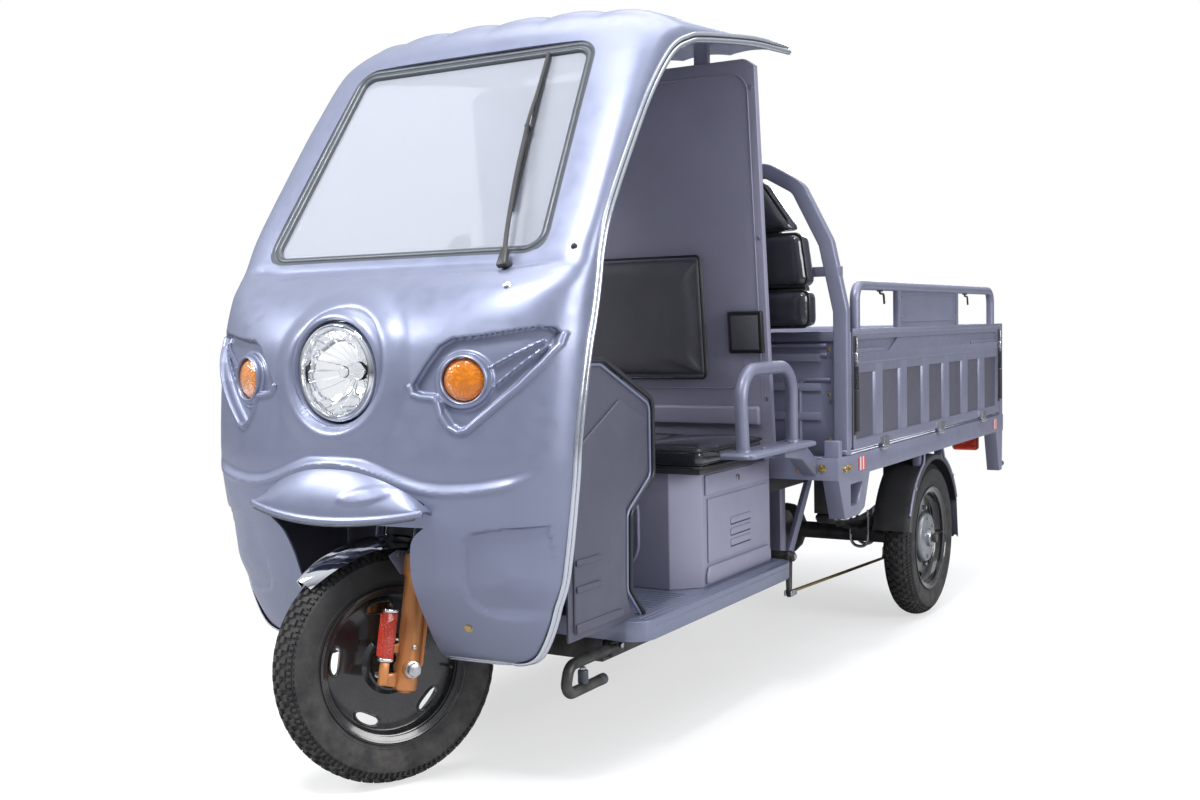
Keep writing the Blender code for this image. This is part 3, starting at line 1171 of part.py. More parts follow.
def make_side_gates():
    """A pressed panel with recessed flutes, a rail over it, a hoop along the top and a latch at each end."""
    w = BED_HALF_WIDTH
    x = (w - GATE_THICK, w)
    length = GATE_REAR - GATE_FRONT
    sheet = box((w - 0.014, w - 0.010), (GATE_FRONT + 0.005, GATE_REAR - 0.005), (GATE_LOW, GATE_TOP))
    shapes = [box(x, (GATE_FRONT, GATE_REAR), (GATE_LOW, GATE_LOW + 0.026)),
              box(x, (GATE_FRONT, GATE_REAR), (GATE_TOP - 0.030, GATE_TOP)),
              box(x, (GATE_FRONT, GATE_FRONT + 0.022), (GATE_LOW, GATE_TOP)),
              box(x, (GATE_REAR - 0.022, GATE_REAR), (GATE_LOW, GATE_TOP)),
              box((w - 0.013, w - 0.003), (GATE_FRONT, GATE_REAR), (0.815, 0.870))]
    pitch = length / FLUTES
    for index in range(1, FLUTES):
        y = GATE_FRONT + pitch * index
        shapes.append(box((w - 0.013, w - 0.004), (y - 0.032, y + 0.032), (GATE_LOW + 0.02, 0.83)))
    shapes.append(tube([(w - 0.013, GATE_FRONT + 0.055, GATE_TOP - 0.010),
                        (w - 0.013, GATE_FRONT + 0.055, HOOP_TOP - HOOP_RADIUS),
                        (w - 0.013, GATE_REAR - 0.075, HOOP_TOP - HOOP_RADIUS),
                        (w - 0.013, GATE_REAR - 0.075, GATE_TOP - 0.010)], HOOP_RADIUS, 0.045, 3, 8))
    sign = (GATE_FRONT + 0.42, GATE_FRONT + 0.42 + 0.62)
    shapes.append(box((w - 0.016, w - 0.010), sign, (GATE_TOP - 0.01, HOOP_TOP - 0.015)))
    shapes += [box((w - 0.021, w - 0.005), (y - 0.012, y + 0.012), (GATE_TOP - 0.01, HOOP_TOP - 0.015))
               for y in sign]
    hinge = SIDE_HINGE
    for share in GATE_HINGES:
        y = GATE_FRONT + share * length
        shapes.append(rod((hinge.x, y - 0.030, hinge.z), (hinge.x, y + 0.030, hinge.z), HINGE_RADIUS, 10))
        shapes.append(box((w - 0.006, hinge.x + 0.004), (y - 0.024, y + 0.024), (hinge.z + 0.002, GATE_LOW + 0.020)))
    for y in (GATE_FRONT + 0.011, GATE_REAR - 0.011):
        shapes.append(box((w - 0.002, w + 0.004), (y - 0.008, y + 0.008), (GATE_TOP - 0.290, GATE_TOP - 0.020)))
        shapes.append(rod((w + 0.007, y, GATE_TOP - 0.280), (w + 0.007, y, GATE_TOP - 0.170), 0.007, 8))
    gate = joined(sheet, *shapes)
    for side, name in ((1, "left"), (-1, "right")):
        place = Vector((side * hinge.x, 0, hinge.z))
        body = empty("side_gate_" + name + "_hinge", vehicle, Matrix.Translation(place))
        shape = copied(gate) if side > 0 else mirrored(gate)
        finish("side_gate_" + name, at_hinge(shape, place), PAINT, body)
    bpy.data.objects.remove(gate, do_unlink=True)


def make_tailgate():
    y = (BED_REAR - GATE_THICK, BED_REAR)
    half = BED_HALF_WIDTH - POST_SIZE - GATE_GAP
    shapes = [box((-half, half), y, (GATE_LOW, GATE_LOW + 0.026)),
              box((-half, half), y, (GATE_TOP - 0.030, GATE_TOP)),
              box((-half, -half + 0.022), y, (GATE_LOW, GATE_TOP)),
              box((half - 0.022, half), y, (GATE_LOW, GATE_TOP))]
    pitch = 2 * half / 5
    for index in range(1, 5):
        x = -half + pitch * index
        shapes.append(box((x - 0.030, x + 0.030), (BED_REAR - 0.013, BED_REAR - 0.004), (GATE_LOW + 0.02, 0.83)))
    shapes.append(box((-half, half), (BED_REAR - 0.013, BED_REAR - 0.003), (0.815, 0.870)))
    hinge = TAIL_HINGE
    for x in (-0.56 * half, 0, 0.56 * half):
        shapes.append(rod((x - 0.030, hinge.y, hinge.z), (x + 0.030, hinge.y, hinge.z), HINGE_RADIUS, 10))
        shapes.append(box((x - 0.024, x + 0.024), (BED_REAR - 0.006, hinge.y + 0.004),
                          (hinge.z + 0.002, GATE_LOW + 0.020)))
    sheet = box((-half, half), (BED_REAR - 0.014, BED_REAR - 0.010), (GATE_LOW, GATE_TOP))
    body = empty("tailgate_hinge", vehicle, Matrix.Translation(hinge))
    finish("tailgate", at_hinge(joined(sheet, *shapes), hinge), PAINT, body)


def make_hip_hoops():
    """A grab hoop on a bracket plate at each end of the seat, carried from the bed's front beam."""
    x = SEAT_HALF_WIDTH + GRAB_OUT
    low = SEAT_BOX_TOP + 0.045
    rear = BED_FRONT - BED_LIP - SEAT_GAP
    beam_top = BED_BOTTOM + BEAM_HEIGHT
    near, far = SEAT_FRONT + 0.080, SEAT_REAR + 0.020
    hoop = tube([(x, near + 0.015, low), (x, near, low + 0.20), (x, far, low + 0.20), (x, far, low)],
                0.0165, 0.075, 4, 8)
    foot = rounded(box((x - 0.040, x + 0.045), (near - 0.030, far + 0.045), (low - 0.008, low + 0.004)), 0.003)
    arm = plate([(far - 0.090, low - 0.002), (far + 0.035, low - 0.002), (rear, beam_top), (rear, beam_top - 0.050),
                 (far + 0.020, low - 0.045), (far - 0.090, low - 0.030)], x - 0.020, x + 0.020, "x")
    shape = joined(hoop, foot, arm)
    finish("hip_hoop_right", mirrored(shape), PAINT, vehicle)
    finish("hip_hoop_left", shape, PAINT, vehicle)


def make_small_parts():
    low_rail = FLOOR_BOTTOM - SEAT_GAP - RAIL_HEIGHT
    step_x = RAIL_X + RAIL_WIDTH / 2 + SEAT_GAP
    step_y = LOW_RAIL_FRONT + 0.025
    for side, name in ((1, "left"), (-1, "right")):
        bar_x = step_x + 0.013
        step = tube([(bar_x, step_y, low_rail + 0.030), (bar_x, step_y - 0.185, low_rail + 0.030),
                     (bar_x, step_y - 0.205, low_rail - 0.030), (bar_x, step_y - 0.045, low_rail - 0.030)],
                    0.0125, 0.028, 3, 8)
        lug = box((step_x, step_x + 0.020), (step_y - 0.020, step_y + 0.040), (low_rail + 0.010, low_rail + 0.046))
        shape = joined(step, lug)
        finish("step_tube_" + name, shape if side > 0 else mirrored_only(shape), STEEL, vehicle)
    for side, name in ((1, "left"), (-1, "right")):
        rear = BED_REAR - 0.012
        out = BED_HALF_WIDTH - TAIL_LAMP_IN
        lamp = rounded(box((out - TAIL_LAMP_WIDTH, out), (rear - 0.030, rear), (0.455, BED_BOTTOM - SEAT_GAP)), 0.008)
        finish("tail_lamp_" + name, lamp if side > 0 else mirrored_only(lamp), RED, vehicle)
    post_side = RAIL_X + RAIL_WIDTH / 2 + SEAT_GAP
    tyre_side = TRACK / 2 - TYRE_HALF_WIDTH
    x = (post_side + tyre_side) / 2
    drum_side = TRACK / 2 - BACKING_IN - BACKING_THICK - SEAT_GAP
    pivot_y = BED_FRONT + RAIL_WIDTH / 2
    arm_y = WHEEL_BASE - 0.030
    pull = tube([(x, pivot_y, CRANK_FOOT + 0.010), (x, arm_y, 0.177), (x, arm_y, 0.220), (drum_side, arm_y, 0.220)],
                0.005, 0.012, 2, 8)
    crank = rod((x, pivot_y, CRANK_HEAD), (x, pivot_y, CRANK_FOOT), 0.013, 8, 0.008)
    pivot = rod((post_side, pivot_y, CRANK_HEAD), (x + 0.014, pivot_y, CRANK_HEAD), 0.014, 10)
    lever = joined(crank, pull, pivot)
    finish("parking_brake_linkage", lever, STEEL, vehicle)


make_wheels()
make_fork()
make_handlebar()
make_front_fender()
make_reflectors()
make_cab_shell()
make_lamps()
make_windscreen()
make_wiper()
make_floor()
make_dash()
make_seat()
make_seat_cushion()
make_rear_panel()
make_chassis()
make_springs()
make_rear_axle()
make_mudguards()
make_bed()
make_headboard()
make_side_gates()
make_tailgate()
make_hip_hoops()
make_small_parts()
bpy.context.view_layer.update()
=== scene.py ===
"""Looks of the electric cargo tricycle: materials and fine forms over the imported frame.

Metres, +Z up, the front towards -Y, the driver's left towards +X. Most pieces are drawn with y
measured back from the front axle and shifted by AXLE_Y when they are made.
"""

import json
import math

import bmesh
import bpy
import numpy as np
from mathutils import Matrix, Vector


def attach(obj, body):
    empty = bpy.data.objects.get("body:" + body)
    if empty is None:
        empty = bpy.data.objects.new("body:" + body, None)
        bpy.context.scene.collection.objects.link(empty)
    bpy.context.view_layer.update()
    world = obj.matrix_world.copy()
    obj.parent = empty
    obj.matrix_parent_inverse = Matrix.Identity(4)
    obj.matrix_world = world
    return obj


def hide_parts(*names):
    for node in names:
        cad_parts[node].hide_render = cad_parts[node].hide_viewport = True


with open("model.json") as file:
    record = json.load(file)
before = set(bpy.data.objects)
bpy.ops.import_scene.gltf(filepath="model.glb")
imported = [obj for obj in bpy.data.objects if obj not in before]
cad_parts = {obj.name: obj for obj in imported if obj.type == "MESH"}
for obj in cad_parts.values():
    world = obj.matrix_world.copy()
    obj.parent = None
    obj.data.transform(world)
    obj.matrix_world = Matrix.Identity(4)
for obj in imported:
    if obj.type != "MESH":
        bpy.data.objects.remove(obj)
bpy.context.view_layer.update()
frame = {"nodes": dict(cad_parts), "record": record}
NODES = frame["nodes"]
BODY_OF = {node: body for body, members in frame["record"]["behaviour"]["bodies"].items() for node in members}
SLOT_OF = {row["node"]: row["material_slot"] for row in frame["record"]["subparts"]}

AXLE_Y = -1.3747763       # world y of the front axle
SHIFT = Matrix.Translation((0, AXLE_Y, 0))
FRONT_HUB = Vector((0, AXLE_Y, 0.24916))
RAKE = math.radians(12.0)
STEER_REST = math.radians(-26.5)   # the photographed turn, at which the part rests
STEER_AXIS = Vector((0, math.sin(RAKE), math.cos(RAKE)))
STEERED = (Matrix.Translation(FRONT_HUB) @ Matrix.Rotation(STEER_REST, 4, STEER_AXIS)
           @ Matrix.Rotation(-RAKE, 4, "X"))
SIDES = ((1, "left"), (-1, "right"))


# Camera, floor and light

CAMERA_TURN = (30.759, 3.265, -1.0956)             # yaw, pitch and roll in degrees, solved from the photograph
CAMERA_AT = (1.821, -2.152 + AXLE_Y, 0.961)
FOCAL_PIXELS, PHOTO_WIDTH, SENSOR = 1319.51, 1200, 36.0
FLOOR_RADIUS = 14
# Name, place, target, size and power in watts of each lamp
LAMPS = (("key", (0.5, -3.6, 5.4), (0, -0.9, 0.8), (1.4, 1.1), 265),
         ("fill", (-3.6, -4.6, 4.2), (0, -0.8, 0.9), (3.0, 1.6), 215),
         ("top", (0.3, 0.4, 4.8), (0, 0.2, 0), (3.6, 4.6), 130),
         ("back", (-1.6, 5.6, 3.4), (0, 0.6, 0.6), (3.0, 2.0), 130),
         ("side", (5.0, -0.9, 2.3), (0, -0.1, 0.7), (2.6, 2.0), 150))


def make_camera():
    yaw, pitch, roll = (math.radians(angle) for angle in CAMERA_TURN)
    forward = Vector((-math.sin(yaw) * math.cos(pitch), math.cos(yaw) * math.cos(pitch), -math.sin(pitch)))
    level = Vector((math.cos(yaw), math.sin(yaw), 0))
    above = level.cross(forward)
    right = level * math.cos(roll) + above * math.sin(roll)
    up = above * math.cos(roll) - level * math.sin(roll)
    data = bpy.data.cameras.new("photo_camera")
    data.sensor_width = SENSOR
    data.lens = SENSOR * FOCAL_PIXELS / PHOTO_WIDTH
    camera = bpy.data.objects.new("photo_camera", data)
    turn = Matrix((right, up, -forward)).transposed().to_4x4()
    camera.matrix_world = Matrix.Translation(CAMERA_AT) @ turn
    bpy.context.scene.collection.objects.link(camera)
    bpy.context.scene.camera = camera


def area_light(name, place, target, size, power):
    data = bpy.data.lights.new(name, "AREA")
    data.shape = "RECTANGLE"
    data.size, data.size_y = size
    data.energy = power
    lamp = bpy.data.objects.new(name, data)
    lamp.location = place
    lamp.rotation_euler = (Vector(target) - Vector(place)).to_track_quat("-Z", "Y").to_euler()
    bpy.context.scene.collection.objects.link(lamp)


def seen_directly(tree):
    """1 for rays that show the background itself: from the camera and through glass."""
    paths = tree.nodes.new("ShaderNodeLightPath")
    return math_of(tree, "MAXIMUM", paths.outputs["Is Camera Ray"], paths.outputs["Is Transmission Ray"])


def filled(made, values):
    """A shader node with the given values in its inputs."""
    for key, value in values.items():
        made.inputs[key].default_value = value
    return made


def add_node(tree, kind, values):
    return filled(tree.nodes.new("ShaderNode" + kind), values)


def math_of(tree, operation, first, second):
    made = tree.nodes.new("ShaderNodeMath")
    made.operation = operation
    tree.links.new(first, made.inputs[0])
    tree.links.new(second, made.inputs[1])
    return made.outputs[0]


def mixed(tree, share, first, second):
    """Two shaders mixed by a share of the second."""
    mix = tree.nodes.new("ShaderNodeMixShader")
    for socket, source in zip(mix.inputs, (share, first, second)):
        tree.links.new(source, socket)
    return mix.outputs[0]


def make_stage():
    """The pale floor under a white sky; both light the vehicle more softly than they look."""
    scene = bpy.context.scene
    scene.view_settings.view_transform = "Standard"
    world = bpy.data.worlds.new("studio")
    scene.world = world
    world.use_nodes = True
    tree = world.node_tree
    tree.nodes.clear()
    seen = add_node(tree, "Background", {"Color": (1, 1, 1, 1), "Strength": 1.0})
    lit = add_node(tree, "Background", {"Color": (0.9, 0.94, 1.0, 1)})
    height = tree.nodes.new("ShaderNodeSeparateXYZ")
    tree.links.new(tree.nodes.new("ShaderNodeTexCoord").outputs["Generated"], height.inputs[0])
    tree.links.new(ranged(tree, height.outputs["Z"], 0.2, 0.9, -0.05, 0.85), lit.inputs["Strength"])
    out = tree.nodes.new("ShaderNodeOutputWorld")
    tree.links.new(mixed(tree, seen_directly(tree), lit.outputs[0], seen.outputs[0]), out.inputs[0])

    bpy.ops.mesh.primitive_circle_add(vertices=96, radius=FLOOR_RADIUS, fill_type="NGON", location=(0, 0, 0))
    floor = bpy.context.object
    floor.name = "studio_floor"
    paint, tree, shader = fresh("studio_floor")
    filled(shader, {"Base Color": (0.93, 0.93, 0.935, 1), "Roughness": 0.9, "Specular IOR Level": 0.1})
    glow = add_node(tree, "Emission", {"Color": (1, 1, 1, 1), "Strength": 1.0})
    dull = add_node(tree, "BsdfDiffuse", {"Color": (0.4, 0.4, 0.41, 1)})
    where = tree.nodes.new("ShaderNodeTexCoord")
    reach = tree.nodes.new("ShaderNodeVectorMath")
    reach.operation = "LENGTH"
    tree.links.new(where.outputs["Object"], reach.inputs[0])
    share = ranged(tree, reach.outputs["Value"], 0.6, 1.0, 1.2, 3.2)
    pale = mixed(tree, share, shader.outputs[0], glow.outputs[0])
    tree.links.new(mixed(tree, seen_directly(tree), dull.outputs[0], pale),
                   tree.nodes["Material Output"].inputs["Surface"])
    floor.data.materials.append(paint)

    for lamp in LAMPS:
        area_light(*lamp)


# Materials

def fresh(name):
    made = bpy.data.materials.new(name)
    made.use_nodes = True
    return made, made.node_tree, made.node_tree.nodes["Principled BSDF"]


def noise(tree, where, scale, detail=3.0, rough=0.55):
    """A noise texture in object coordinates, in waves to the metre."""
    made = add_node(tree, "TexNoise", {"Scale": scale, "Detail": detail, "Roughness": rough})
    tree.links.new(where, made.inputs["Vector"])
    return made.outputs["Fac"]


def ranged(tree, value, low, high, from_low=0.3, from_high=0.7):
    made = add_node(tree, "MapRange", {"From Min": from_low, "From Max": from_high, "To Min": low, "To Max": high})
    tree.links.new(value, made.inputs["Value"])
    return made.outputs["Result"]


def between(tree, factor, first, second):
    """A colour mixed by a factor; either end may be a colour or a socket."""
    mix = tree.nodes.new("ShaderNodeMix")
    mix.data_type = "RGBA"
    tree.links.new(factor, mix.inputs["Factor"])
    for socket, end in ((mix.inputs[6], first), (mix.inputs[7], second)):
        if isinstance(end, bpy.types.NodeSocket):
            tree.links.new(end, socket)
        else:
            socket.default_value = (*end, 1)
    return mix.outputs[2]


def shade(color, factor):
    return tuple(min(1.0, c * factor) for c in color)


def bumped(tree, height, strength, distance, under=None):
    """The normal of a bump map, over another where one is given."""
    bump = add_node(tree, "Bump", {"Strength": strength, "Distance": distance})
    tree.links.new(height, bump.inputs["Height"])
    if under:
        tree.links.new(under, bump.inputs["Normal"])
    return bump.outputs["Normal"]


def surface(name, color, rough, metal=0.0, coat=0.0, coat_rough=0.05, grain=600, grain_bump=0.02,
            wave=6, wave_bump=0.0, tone=0.06, rough_by=0.06, specular=0.5, dirt=0.0, dust=(0.32, 0.29, 0.25)):
    """A finish with uneven tone and gloss, a fine grain and, where wanted, dust gathered low down."""
    made, tree, shader = fresh(name)
    where = tree.nodes.new("ShaderNodeTexCoord").outputs["Object"]
    broad = noise(tree, where, wave, 4.0)
    fine = noise(tree, where, grain, 2.0)
    paint = between(tree, ranged(tree, broad, 0, 1), shade(color, 1 - tone), shade(color, 1 + tone))
    paint = between(tree, ranged(tree, fine, 0, 0.5), paint, shade(color, 1 - 2 * tone))
    if dirt:
        place = tree.nodes.new("ShaderNodeSeparateXYZ")
        tree.links.new(where, place.inputs[0])
        low = ranged(tree, place.outputs["Z"], dirt, 0.0, 0.05, 0.55)
        patch = ranged(tree, noise(tree, where, 25, 5.0, 0.65), 0, 1, 0.35, 0.7)
        paint = between(tree, math_of(tree, "MULTIPLY", low, patch), paint, dust)
    tree.links.new(paint, shader.inputs["Base Color"])
    tree.links.new(ranged(tree, noise(tree, where, wave * 5, 4.0), max(0.02, rough - rough_by), rough + rough_by),
                   shader.inputs["Roughness"])
    filled(shader, {"Metallic": metal, "Specular IOR Level": specular, "Coat Weight": coat,
                    "Coat Roughness": coat_rough})
    normal = None
    for height, strength, distance in ((fine, grain_bump, 0.0005), (broad, wave_bump, 0.004)):
        if strength:
            normal = bumped(tree, height, strength, distance, normal)
    if normal:
        tree.links.new(normal, shader.inputs["Normal"])
    return made


PAINT = surface("body_paint", (0.225, 0.247, 0.355), 0.38, metal=0.5, coat=0.3, coat_rough=0.22, grain=900,
                grain_bump=0.1, tone=0.05, dirt=0.1)
# The dash paint is a darker copy of the body paint: painted shade on the dash fairing and its facets.
DASH_PAINT_PAINTED_SHADE = surface("dash_paint_painted_shade", (0.11, 0.112, 0.155), 0.42, metal=0.3, grain=900, grain_bump=0.12, tone=0.06,
                     dirt=0.1)
# The panel paint is a duller, lighter copy of the body paint: painted light on the rear panel and seat box, which
# stand in shade.
PAINT_DULL_PAINTED_LIGHT = surface("panel_paint_painted_light", (0.3, 0.298, 0.4), 0.46, metal=0.2, grain=900, grain_bump=0.12, tone=0.06,
                     dirt=0.1)
BED_PAINT = surface("bed_paint", (0.205, 0.213, 0.3), 0.4, metal=0.3, coat=0.15, coat_rough=0.25, grain=700,
                    grain_bump=0.08, tone=0.06, dirt=0.15)
PLASTIC = surface("black_plastic", (0.034, 0.034, 0.037), 0.42, grain=500, grain_bump=0.15, tone=0.15, dirt=0.1)
WHEEL = surface("wheel_black", (0.018, 0.018, 0.02), 0.18, coat=0.6, coat_rough=0.06, grain=400, grain_bump=0.02,
                tone=0.1, dirt=0.06)
STEEL = surface("dark_steel", (0.03, 0.03, 0.033), 0.42, metal=0.3, grain=500, grain_bump=0.12, tone=0.15, dirt=0.35)
BRIGHT_STEEL = surface("zinc_steel", (0.55, 0.56, 0.58), 0.28, metal=1.0, grain=500, grain_bump=0.05, tone=0.05)
CHROME = surface("chrome", (0.8, 0.81, 0.84), 0.06, metal=1.0, grain=300, grain_bump=0.0, tone=0.02, rough_by=0.03)
BRONZE = surface("bronze_paint", (0.56, 0.225, 0.075), 0.34, metal=0.4, coat=0.2, grain=700, grain_bump=0.05,
                 tone=0.06)
RUBBER = surface("gasket_rubber", (0.06, 0.07, 0.085), 0.34, grain=600, grain_bump=0.05, tone=0.1)
TYRE = surface("tyre_rubber", (0.02, 0.02, 0.022), 0.72, grain=350, grain_bump=0.35, tone=0.2, dirt=0.18)
VINYL = surface("black_vinyl", (0.028, 0.03, 0.037), 0.16, coat=0.5, coat_rough=0.1, grain=240, grain_bump=0.18,
                wave=14, wave_bump=0.25, tone=0.12, rough_by=0.08)
BRASS = surface("brass_bolt", (0.5, 0.36, 0.14), 0.3, metal=1.0, grain=400, grain_bump=0.05, tone=0.1)


def lens(name, color, rough=0.08, cell=0):
    """Clear coloured plastic, with a pattern of small prisms where a cell size is given."""
    made, tree, shader = fresh(name)
    where = tree.nodes.new("ShaderNodeTexCoord").outputs["Object"]
    tone = ranged(tree, noise(tree, where, 60, 2.0), 0, 1)
    tree.links.new(between(tree, tone, color, shade(color, 0.7)), shader.inputs["Base Color"])
    filled(shader, {"Roughness": rough, "Transmission Weight": 0.35, "IOR": 1.45, "Coat Weight": 0.6})
    if cell:
        cells = add_node(tree, "TexVoronoi", {"Scale": cell})
        tree.links.new(where, cells.inputs["Vector"])
        tree.links.new(bumped(tree, cells.outputs["Distance"], 0.8, 0.002), shader.inputs["Normal"])
    return made


AMBER = lens("amber_lens", (0.95, 0.3, 0.012), cell=150)
RED = lens("red_lens", (0.72, 0.045, 0.012), cell=220)


def clear_glass(name, color, rough, ior, clear=1.0):
    """Thin glass with the gloss of a pane; where it is less than fully clear, the rest shows its colour as a diffuse
    layer, a painted reflection.
    """
    made, _, shader = fresh(name)
    filled(shader, {"Base Color": (*color, 1), "Roughness": rough, "Transmission Weight": clear, "IOR": ior})
    return made


# The windscreen is only half clear; the other half is a pale blue-grey diffuse colour, a painted reflection on the
# glass.
GLASS = clear_glass("windscreen_glass_painted_reflection", (0.5, 0.52, 0.585), 0.06, ior=1.2, clear=0.5)
LAMP_GLASS = clear_glass("lamp_glass", (0.98, 0.99, 1.0), 0.01, ior=1.25)
OF_SLOT = {"body_paint": PAINT, "black_plastic": PLASTIC, "wheel_paint": WHEEL, "dark_steel": STEEL, "chrome": CHROME,
           "gold_paint": BRONZE, "rubber": RUBBER, "tyre": TYRE, "black_vinyl": VINYL, "amber_lens": AMBER,
           "red_lens": RED, "glass": GLASS}


# Shape helpers

def turns(count, shift=0):
    """Evenly spaced angles round a circle, moved on by a share of one step."""
    return [2 * math.pi * (k + shift) / count for k in range(count)]


def circle(radius, count, shift=0):
    """Evenly spaced points on a circle about the origin."""
    return [(radius * math.cos(a), radius * math.sin(a)) for a in turns(count, shift)]


def rect(u, v):
    """The corners of a rectangle between limits, in turn."""
    return [(u[0], v[0]), (u[1], v[0]), (u[1], v[1]), (u[0], v[1])]


def link(obj):
    bpy.context.scene.collection.objects.link(obj)
    return obj


def mesh_object(name, bm, smooth=40):
    bmesh.ops.recalc_face_normals(bm, faces=bm.faces)
    mesh = bpy.data.meshes.new(name)
    bm.to_mesh(mesh)
    bm.free()
    mesh.shade_smooth()
    if smooth:
        mesh.set_sharp_from_angle(angle=math.radians(smooth))
    return link(bpy.data.objects.new(name, mesh))


def applied(obj, smooth=40):
    """The object's modifiers used up into its mesh."""
    bpy.context.view_layer.update()
    depsgraph = bpy.context.evaluated_depsgraph_get()
    mesh = bpy.data.meshes.new_from_object(obj.evaluated_get(depsgraph))
    old = obj.data
    obj.modifiers.clear()
    if obj.type == "MESH":
        obj.data = mesh
        made = obj
    else:
        name, world = obj.name, obj.matrix_world.copy()
        bpy.data.objects.remove(obj)
        made = link(bpy.data.objects.new(name, mesh))
        made.matrix_world = world
    if old.users == 0 and isinstance(old, bpy.types.Mesh):
        bpy.data.meshes.remove(old)
    made.data.shade_smooth()
    if smooth:
        made.data.set_sharp_from_angle(angle=math.radians(smooth))
    return made


def placed(obj, matrix):
    """The mesh itself moved by a matrix, and turned right side out again where that mirrors it."""
    obj.data.transform(matrix)
    if matrix.determinant() < 0:
        obj.data.flip_normals()
    return obj


def mirror(side):
    """No change for the left side (1), a mirror image about the middle plane for the right (-1)."""
    return Matrix.Diagonal((side, 1, 1, 1))


def join(name, *objs):
    """Several meshes as one, with their materials."""
    bpy.ops.object.select_all(action="DESELECT")
    for obj in objs:
        obj.select_set(True)
    bpy.context.view_layer.objects.active = objs[0]
    if len(objs) > 1:
        bpy.ops.object.join()
    made = objs[0]
    made.name = name
    made.data.name = name
    return made


def coat(obj, material):
    obj.data.materials.clear()
    obj.data.materials.append(material)
    return obj


def coated(material, *objs):
    return [coat(obj, material) for obj in objs]


def show(obj, body, slot, *replaced):
    """Hang a finished piece on its body and hide the CAD parts it replaces."""
    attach(obj, body)
    if replaced:
        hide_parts(*replaced)
    return obj


def assemble(name, parts, matrix, body, slot, *replaced):
    """Coated parts joined as one piece, moved into place and shown."""
    return show(placed(join(name, *parts), matrix), body, slot, *replaced)


def bar(points, radius, sides=16, cyclic=False):
    """A round bar along a path of points, capped."""
    curve = bpy.data.curves.new("bar", "CURVE")
    curve.dimensions = "3D"
    spline = curve.splines.new("POLY")
    spline.points.add(len(points) - 1)
    for point, place in zip(spline.points, points):
        point.co = (*place, 1.0)
    spline.use_cyclic_u = cyclic
    curve.bevel_depth = radius
    curve.bevel_resolution = max(0, sides // 2 - 2)
    curve.use_fill_caps = not cyclic
    return applied(link(bpy.data.objects.new("bar", curve)), 50)


def bend_points(points, bend, steps=8):
    """A path's corners rounded by arcs of about the bend radius."""
    path = [Vector(p) for p in points]
    out = [path[0]]
    for before, corner, after in zip(path, path[1:], path[2:]):
        to_before = (before - corner).normalized()
        to_after = (after - corner).normalized()
        half = to_before.angle(to_after) / 2
        if half > math.radians(89):
            out.append(corner)
            continue
        cut = min(bend / math.tan(half), (before - corner).length * 0.49, (after - corner).length * 0.49)
        radius = cut * math.tan(half)
        centre = corner + (to_before + to_after).normalized() * (radius / math.sin(half))
        first = corner + to_before * cut - centre
        last = corner + to_after * cut - centre
        sweep = first.angle(last)
        side = (last - first * math.cos(sweep)).normalized() * radius
        out += [centre + first * math.cos(sweep * k / steps) + side * math.sin(sweep * k / steps)
                for k in range(steps + 1)]
    return out + [path[-1]]


def bent_loop(corners, bend, steps):
    """A closed loop of corners, each rounded by an arc."""
    return bend_points([*corners, *corners[:2]], bend, steps)[1:-1][:len(corners) * (steps + 1)]


def loop_bar(corners, bend, steps, radius):
    """A thin round bar all round a loop of corners."""
    return bar(bent_loop(corners, bend, steps), radius, 10, cyclic=True)


def between_rows(rows, i, t):
    """A point on the smooth curve through rows, a share t of the way from row i to the next."""
    p0, p1, p2, p3 = rows[max(i - 1, 0)], rows[i], rows[i + 1], rows[min(i + 2, len(rows) - 1)]
    return 0.5 * ((2 * p1) + (p2 - p0) * t + (2 * p0 - 5 * p1 + 4 * p2 - p3) * t * t
                  + (3 * p1 - p0 - 3 * p2 + p3) * t ** 3)


def smooth_path(points, steps=8):
    """A smooth curve through points."""
    path = [Vector(p) for p in points]
    return [between_rows(path, i, k / steps) for i in range(len(path) - 1) for k in range(steps)] + [path[-1]]


def block(x, y, z, bevel=0.002, segments=2):
    """A block between limits, given in either order, with rounded edges."""
    x, y, z = sorted(x), sorted(y), sorted(z)
    bm = bmesh.new()
    bmesh.ops.create_cube(bm, size=1.0)
    size = Matrix.Diagonal((x[1] - x[0], y[1] - y[0], z[1] - z[0], 1.0))
    middle = Matrix.Translation(((x[0] + x[1]) / 2, (y[0] + y[1]) / 2, (z[0] + z[1]) / 2))
    bmesh.ops.transform(bm, matrix=middle @ size, verts=bm.verts)
    obj = mesh_object("block", bm)
    return soften(obj, bevel, segments) if bevel else obj


def soften(obj, bevel, segments=2, angle=35, smooth=50):
    edges = obj.modifiers.new("edges", "BEVEL")
    edges.width = bevel
    edges.segments = segments
    edges.limit_method = "ANGLE"
    edges.angle_limit = math.radians(angle)
    return applied(obj, smooth)


def slab(outline, low, high, axis="x", bevel=0.0, segments=2):
    """A flat outline extruded between two levels, given in either order, along an axis."""
    low, high = sorted((low, high))
    bm = bmesh.new()
    place = {"x": lambda u, v, w: (w, u, v), "y": lambda u, v, w: (u, w, v), "z": lambda u, v, w: (u, v, w)}[axis]
    rings = [[bm.verts.new(place(p[0], p[1], level)) for p in outline] for level in (low, high)]
    count = len(outline)
    for i in range(count):
        j = (i + 1) % count
        bm.faces.new((rings[0][i], rings[0][j], rings[1][j], rings[1][i]))
    bm.faces.new(rings[0])
    bm.faces.new(rings[1])
    obj = mesh_object("slab", bm)
    return soften(obj, bevel, segments) if bevel else obj


